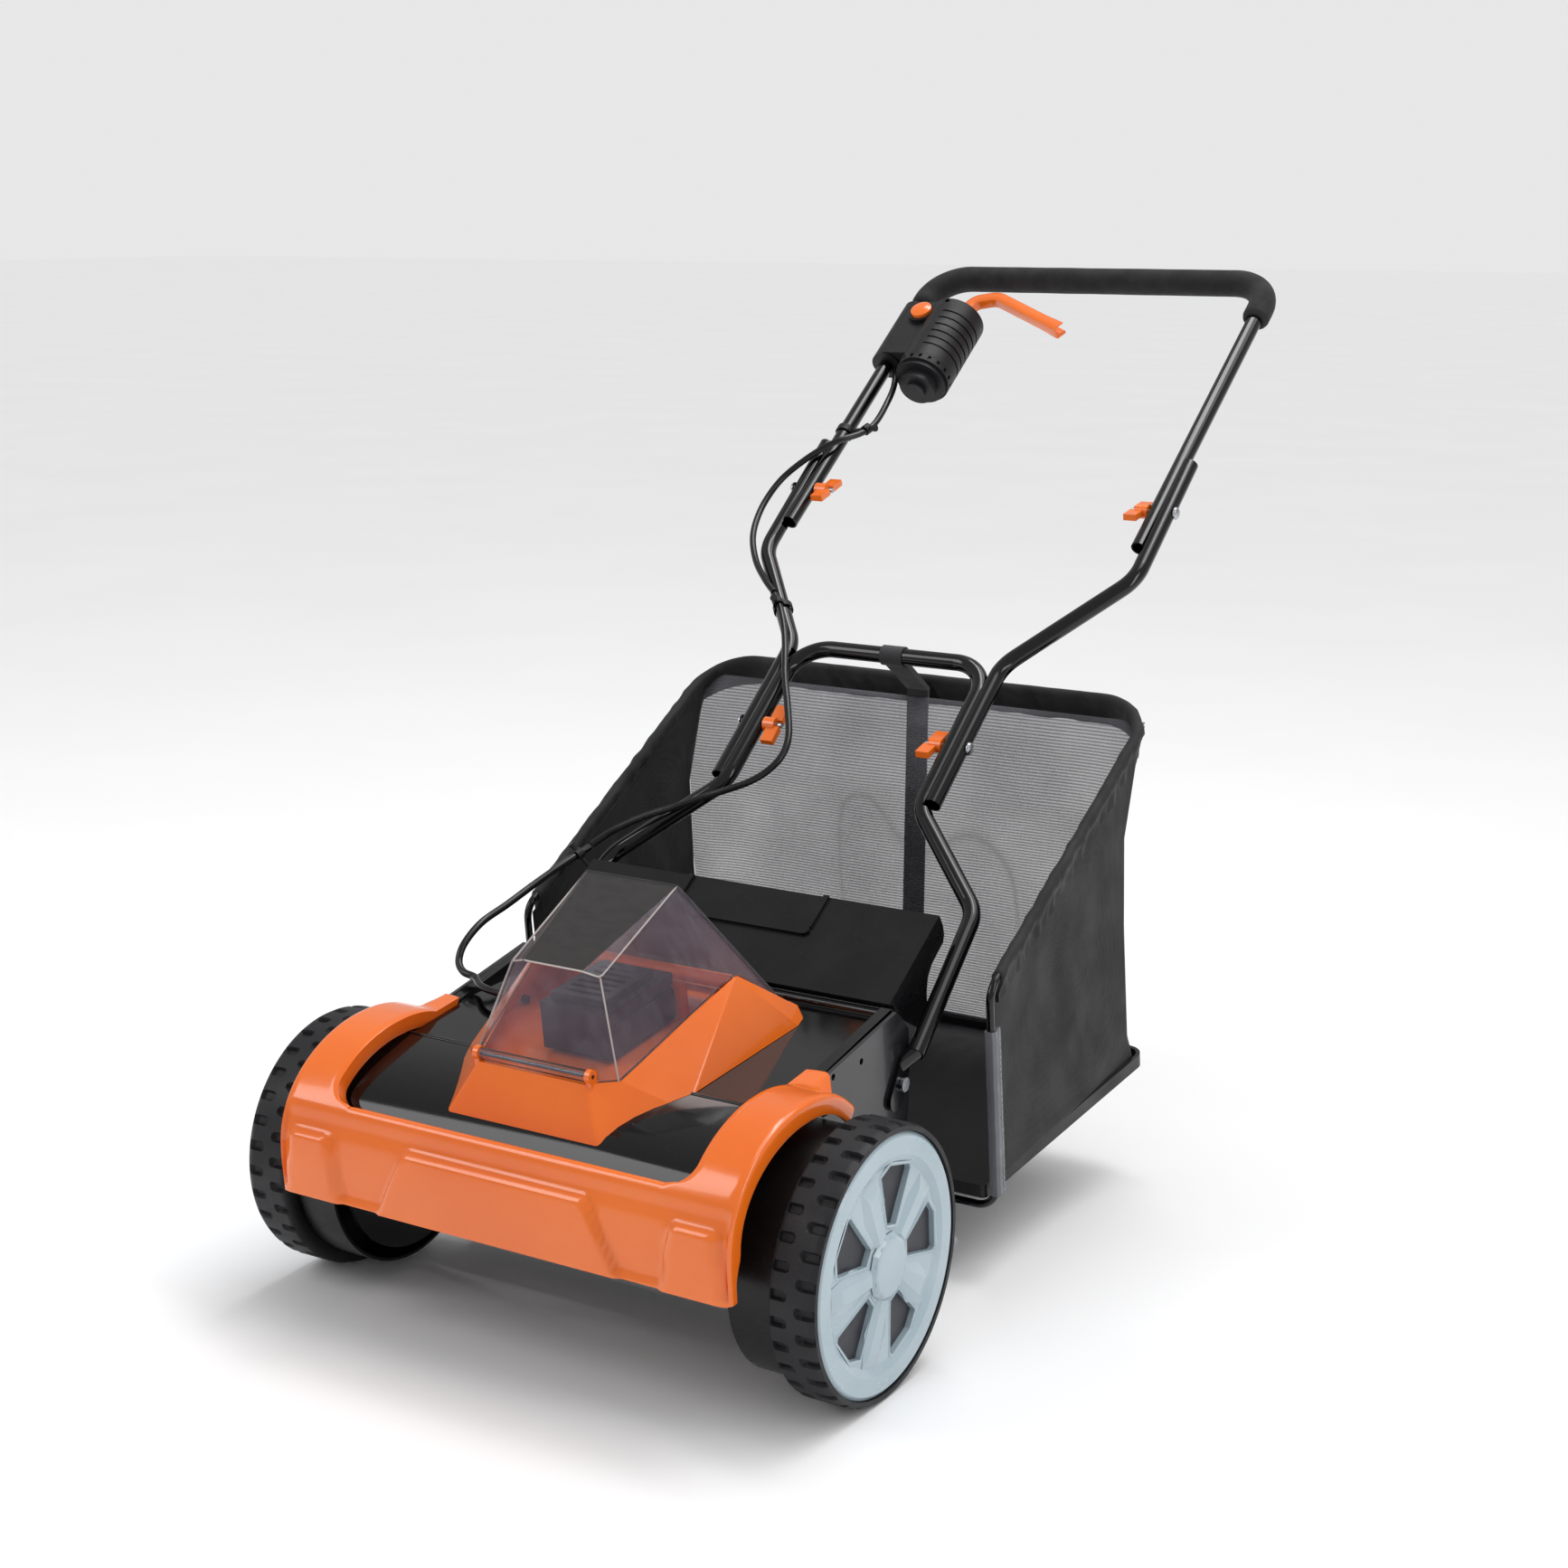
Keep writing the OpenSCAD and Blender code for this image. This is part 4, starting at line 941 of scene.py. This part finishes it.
# The cap's outlines in (radius, sideways), and how far each point of a spoke or ring stands proud
CAP_WINDOWS = 5
CAP_WINDOW = [(36, -6), (36, 9), (78, 28), (88, 14), (88, -20), (84, -22)]
LIP_RINGS = [(0.0, -2.5), (0.0, 0.7), (1.6, 1.1), (4.2, -0.1)]
SPOKE = [(26, -9, -0.3), (26, 10, -0.3), (30, -5, 3.4), (30, 6, 3.4), (76, -11, 2.6), (76, 5, 3.0),
         (90, -17, -0.3), (90, 10, -0.3), (58, 17, -0.3), (58, -21, -0.3)]
SPOKE_FACES = [(0, 2, 3, 1), (2, 4, 5, 3), (4, 6, 7, 5), (1, 3, 5, 8), (5, 7, 8), (0, 9, 4, 2), (9, 6, 4)]
BOSS_RINGS = [(31, 1.2), (27, 5.2), (25, 5.9), (20, 6.1)]
BOSS_SIDES = 10


def cap_face(r):
    """X of the hub cap's face at radius r."""
    if r < 90:
        return TRACK_X - 1 - 3 * r / 90
    return TRACK_X - 4 + 4 * min((r - 90) / 8, 1.0)


def turned(side, angle, r, t, proud):
    """A place on the cap: r outwards along a direction, from straight down, and t across it."""
    c, s = math.cos(angle), math.sin(angle)
    across, up = t * c + r * s, -(r * c - t * s)
    return at(side * (cap_face(math.hypot(r, t)) + proud), across, AXLE_Z + up)


def window_lip(side, angle):
    """A raised lip round one window of the cap."""
    n = len(CAP_WINDOW)
    mid_r = sum(r for r, _ in CAP_WINDOW) / n
    mid_t = sum(t for _, t in CAP_WINDOW) / n
    points = []
    for grow, proud in LIP_RINGS:
        for r, t in CAP_WINDOW:
            away = Vector((r - mid_r, t - mid_t)).normalized() * grow
            points.append(turned(side, angle, r + away.x, t + away.y, proud))
    return points, bands(len(LIP_RINGS), n, closed_ends=False)


def boss(side):
    """The stepped boss in the middle, with a flat end."""
    points = []
    for radius, proud in BOSS_RINGS:
        level = cap_face(0) + proud - 1.0
        for k in range(BOSS_SIDES):
            p = turned(side, 2 * math.pi * (k + 0.5) / BOSS_SIDES, radius, 0, 0)
            points.append(Vector((side * level * MM, p.y, p.z)))
    faces = bands(len(BOSS_RINGS), BOSS_SIDES, closed_ends=False)
    faces.append(tuple(range(len(points) - BOSS_SIDES, len(points))))
    return points, faces


def make_cap(side):
    """A lip round each window, a ridged spoke between windows, the boss and the dark disc behind."""
    verts, faces = [], []
    for k in range(CAP_WINDOWS):
        angle = 2 * math.pi * (k + 0.3) / CAP_WINDOWS
        spoke = angle + math.pi / CAP_WINDOWS
        add_part(verts, faces, *window_lip(side, angle))
        add_part(verts, faces, [turned(side, spoke, r, t, proud) for r, t, proud in SPOKE], SPOKE_FACES)
    add_part(verts, faces, *boss(side))
    body = "wheel_" + hand(side)
    piece("cap_ridges_" + hand(side), verts, faces, body, MATERIALS["cap"], sharp=8)
    inset = [(34, TRACK_X - 7.2), (93, TRACK_X - 8.6), (93, TRACK_X - 10), (34, TRACK_X - 10)]
    revolved("cap_inset_" + hand(side), inset, side, body, MATERIALS["dark"], steps=60)


# ---------------------------------------------------------------- battery lid's lines

# Corners of the lid's right half in (x, y, z)
LID = {
    "front_low": (60, -85, 269), "corner_low": (79, -66, 269), "front_top": (33, -56, 360),
    "corner_top": (49, -50, 355), "roof_back": (51, 68, 412), "side_back": (110, 78, 326),
    "rear_low": (113, 150, 289),
}


def lid_point(name, side):
    x, y, z = LID[name]
    return at(side * x, y, z)


def lid_strips(name, runs, radius, sides, material):
    """Thin lines swept along the lid's edges, for the painted highlights and for the moulded trim."""
    verts, faces = [], []
    for run in runs:
        add_part(verts, faces, *sweep(spaced(run, 0.004), lambda i: ring(radius * MM, sides)))
    piece(name, verts, faces, "lid", material)


def make_lid_lines():
    """Painted highlights as pale lines round the roof and down the front corners, and a dark trim behind."""
    roof = [lid_point("roof_back", -1), lid_point("front_top", -1), lid_point("front_top", 1),
            lid_point("corner_top", 1), lid_point("roof_back", 1)]
    edges = [rounded(roof, [0, 5 * MM, 4 * MM, 4 * MM, 0], 4)]
    edges.append([lid_point("front_top", -1), lid_point("corner_top", -1), lid_point("roof_back", -1)])
    edges += [[lid_point("corner_top", side), lid_point("corner_low", side)] for side in (-1, 1)]
    # Painted highlights along the roof's edges and down the front corners.
    lid_strips("lid_edge_highlight_lines", edges, 0.9, 6, MATERIALS["rim_line"])
    trim = [[lid_point("roof_back", side), lid_point("rear_low", side)] for side in (-1, 1)]
    trim.append([lid_point("roof_back", -1), lid_point("roof_back", 1)])
    lid_strips("lid_rear_trim", trim, 1.7, 8, MATERIALS["latch"])


# ---------------------------------------------------------------- grass catcher

# The catcher's wire frame: its half width, and places in (y, z)
CATCHER_X = 275
POST_TOP = (262, 297)
RIM_BACK = (628, 512)
SLEEVE_OUTLINE = [
    (0.0, 6.4), (4.2, 4.6), (6.2, 0.5), (5.4, -5.0), (3.0, -10.0), (1.8, -17.0), (1.6, -26.0),
    (-1.6, -26.0), (-1.8, -17.0), (-3.0, -10.0), (-5.4, -5.0), (-6.2, 0.5), (-4.2, 4.6),
]
WELT_OUTLINE = [
    (0.0, 6.0), (4.0, 5.0), (5.8, 1.0), (4.6, -5.0), (2.0, -11.0), (1.6, -17.0),
    (-1.6, -17.0), (-2.0, -11.0), (-4.6, -5.0), (-5.8, 1.0), (-4.0, 5.0),
]
RAIL_SLOPE = math.atan2(RIM_BACK[1] - POST_TOP[1], RIM_BACK[0] - POST_TOP[0])


def rail_z(y):
    """Height of the frame's sloping side rail."""
    return POST_TOP[1] + (y - POST_TOP[0]) * math.tan(RAIL_SLOPE)


def creases(p, scale, depth):
    """Soft folds: ridged noise, so that creases are lines and not lumps."""
    a = noise.noise(p * scale)
    b = noise.noise(p * scale * 2.3 + Vector((3.1, 0.7, 5.2)))
    return depth * ((1 - abs(a) * 2.2) * 0.6 + (1 - abs(b) * 2.2) * 0.3)


def rear_y(z):
    """The rear wall is drawn in between the rim and the tray, by (z, y) from the tray up."""
    heights = [(135, 604), (160, 590), (287, 573), (401, 566), (470, 590), (498, 612)]
    for (z0, y0), (z1, y1) in zip(heights, heights[1:]):
        if z <= z1:
            t = min(max((z - z0) / (z1 - z0), 0.0), 1.0)
            return y0 + (y1 - y0) * t
    return heights[-1][1]


def side_wall(side):
    """One side of the bag, from the front post to the rear corner and from the tray to the rail."""
    def place(u, v):
        front = 290 - 22 * v
        low = 96 + 36 * u
        back = rear_y(135 + 360 * v)
        y = front + (back - front) * u
        top = rail_z(y) - 9
        z = low + (top - low) * v
        hold = math.sin(math.pi * u) * math.sin(math.pi * (v * 0.96 + 0.02))
        sag = -10 * hold
        p = Vector((side * 0.3, y * MM, z * MM))
        slant = Vector((side * 0.3, (y + 0.6 * z) * MM, (z - 0.4 * y) * 0.35 * MM))
        fold = (creases(p, 4.0, 5.0) + creases(slant, 12.0, 3.2)) * hold
        x = CATCHER_X - 3 + sag + fold
        return at(side * x, y, z)

    verts, faces = patch(110, 90, place)
    name = "bag_side_" + hand(side)
    obj = piece(name, verts, faces, "catcher", MATERIALS["fabric"], sharp=80, solid=False)
    thicken(obj, "cloth", 0.8, 0)
    if side < 0:
        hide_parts("catcher_bag")


def rear_wall():
    """The netting across the back."""
    def place(u, v):
        z = mix(140, 496, v)
        x = (u - 0.5) * 2 * (CATCHER_X - 3)
        free = min(u, 1 - u) * 8
        hold = smooth(free) * math.sin(math.pi * v)
        p = Vector((x * MM, 0.4, z * MM + 0.5 * abs(x) * MM))
        bulge = 5 * hold + (creases(p, 5.0, 6.0) + creases(p, 13.0, 2.5)) * hold
        corner = -14 * smooth((abs(x) - CATCHER_X + 48) / 45)
        return at(x, rear_y(z) + bulge + corner * hold, z)

    verts, faces = patch(150, 90, place)
    obj = piece("bag_rear_netting", verts, faces, "catcher", MATERIALS["mesh"], sharp=80, solid=False)
    thicken(obj, "cloth", 0.5, 0)


def rim_sleeve():
    """The cloth is turned over the wire and sewn below it, and puckers along the seam."""
    front = POST_TOP[0] + 16
    corners = [at(CATCHER_X, front, rail_z(front)), at(CATCHER_X, *RIM_BACK), at(-CATCHER_X, *RIM_BACK),
               at(-CATCHER_X, front, rail_z(front))]
    line = spaced(rounded(corners, 60 * MM, 14), 0.003)
    up = Vector((0, 0, 1))
    verts = []
    for i, p in enumerate(line):
        ahead = (line[min(i + 1, len(line) - 1)] - line[max(i - 1, 0)]).normalized()
        out = ahead.cross(up).normalized()
        for k, (a, b) in enumerate(SLEEVE_OUTLINE):
            pucker = noise.noise(p * 55 + up * b * 0.03) * 3.0
            pucker += noise.noise(p * 130 + Vector((k * 0.5, 0, 0))) * 1.6
            pucker *= 0.3 if b > -2 else 1.0
            loose = 1 + 0.25 * noise.noise(p * 70 + Vector((k * 0.35, 0, 0)))
            low = b * (1 + 0.08 * noise.noise(p * 30)) if b < -12 else b
            verts.append(p + out * (a * loose + pucker) * MM + up * low * MM)
    faces = bands(len(line), len(SLEEVE_OUTLINE))
    piece("rim_sleeve", verts, faces, "catcher", MATERIALS["fabric"], sharp=70)


def post_welt(side):
    """Vinyl binding round the front post, with a line of stitches."""
    line = spaced([at(side * CATCHER_X, 284.5, 84), at(side * CATCHER_X, 266, 256)], 0.006)
    verts = []
    for p in line:
        wave = 0.6 * noise.noise(p * 90)
        verts += [p + Vector(((a + wave) * MM * side, -b * MM, 0)) for a, b in WELT_OUTLINE]
    faces = bands(len(line), len(WELT_OUTLINE))
    piece("post_welt_" + hand(side), verts, faces, "catcher", MATERIALS["vinyl"])
    seam = [p + Vector((side * 2.1 * MM, 13.5 * MM, 0)) for p in line]
    sew("post_stitches_" + hand(side), seam, 0.0065, 0.0035)


def sew(name, line, pitch, length):
    """A row of short stitches along a line."""
    verts, faces = [], []
    even = spaced(line, pitch)
    for a, b in zip(even, even[1:]):
        ahead = (b - a).normalized()
        stitch = [a, a + ahead * length * 0.5, a + ahead * length]
        add_part(verts, faces, *sweep(stitch, lambda i: ring(0.45 * MM, 6), up=Vector((1, 0.2, 0))))
    piece(name, verts, faces, "catcher", MATERIALS["thread"])


def make_catcher():
    for side in (-1, 1):
        side_wall(side)
        post_welt(side)
    rear_wall()
    rim_sleeve()


# ---------------------------------------------------------------- the scene

make_camera()
make_cable()
make_stage()
finish_cad_nodes()
make_foam_grip()
make_bail()
make_fascia()
make_cover()
for wheel in (-1, 1):
    make_tyre(wheel)
    make_cap(wheel)
make_lid_lines()
make_catcher()
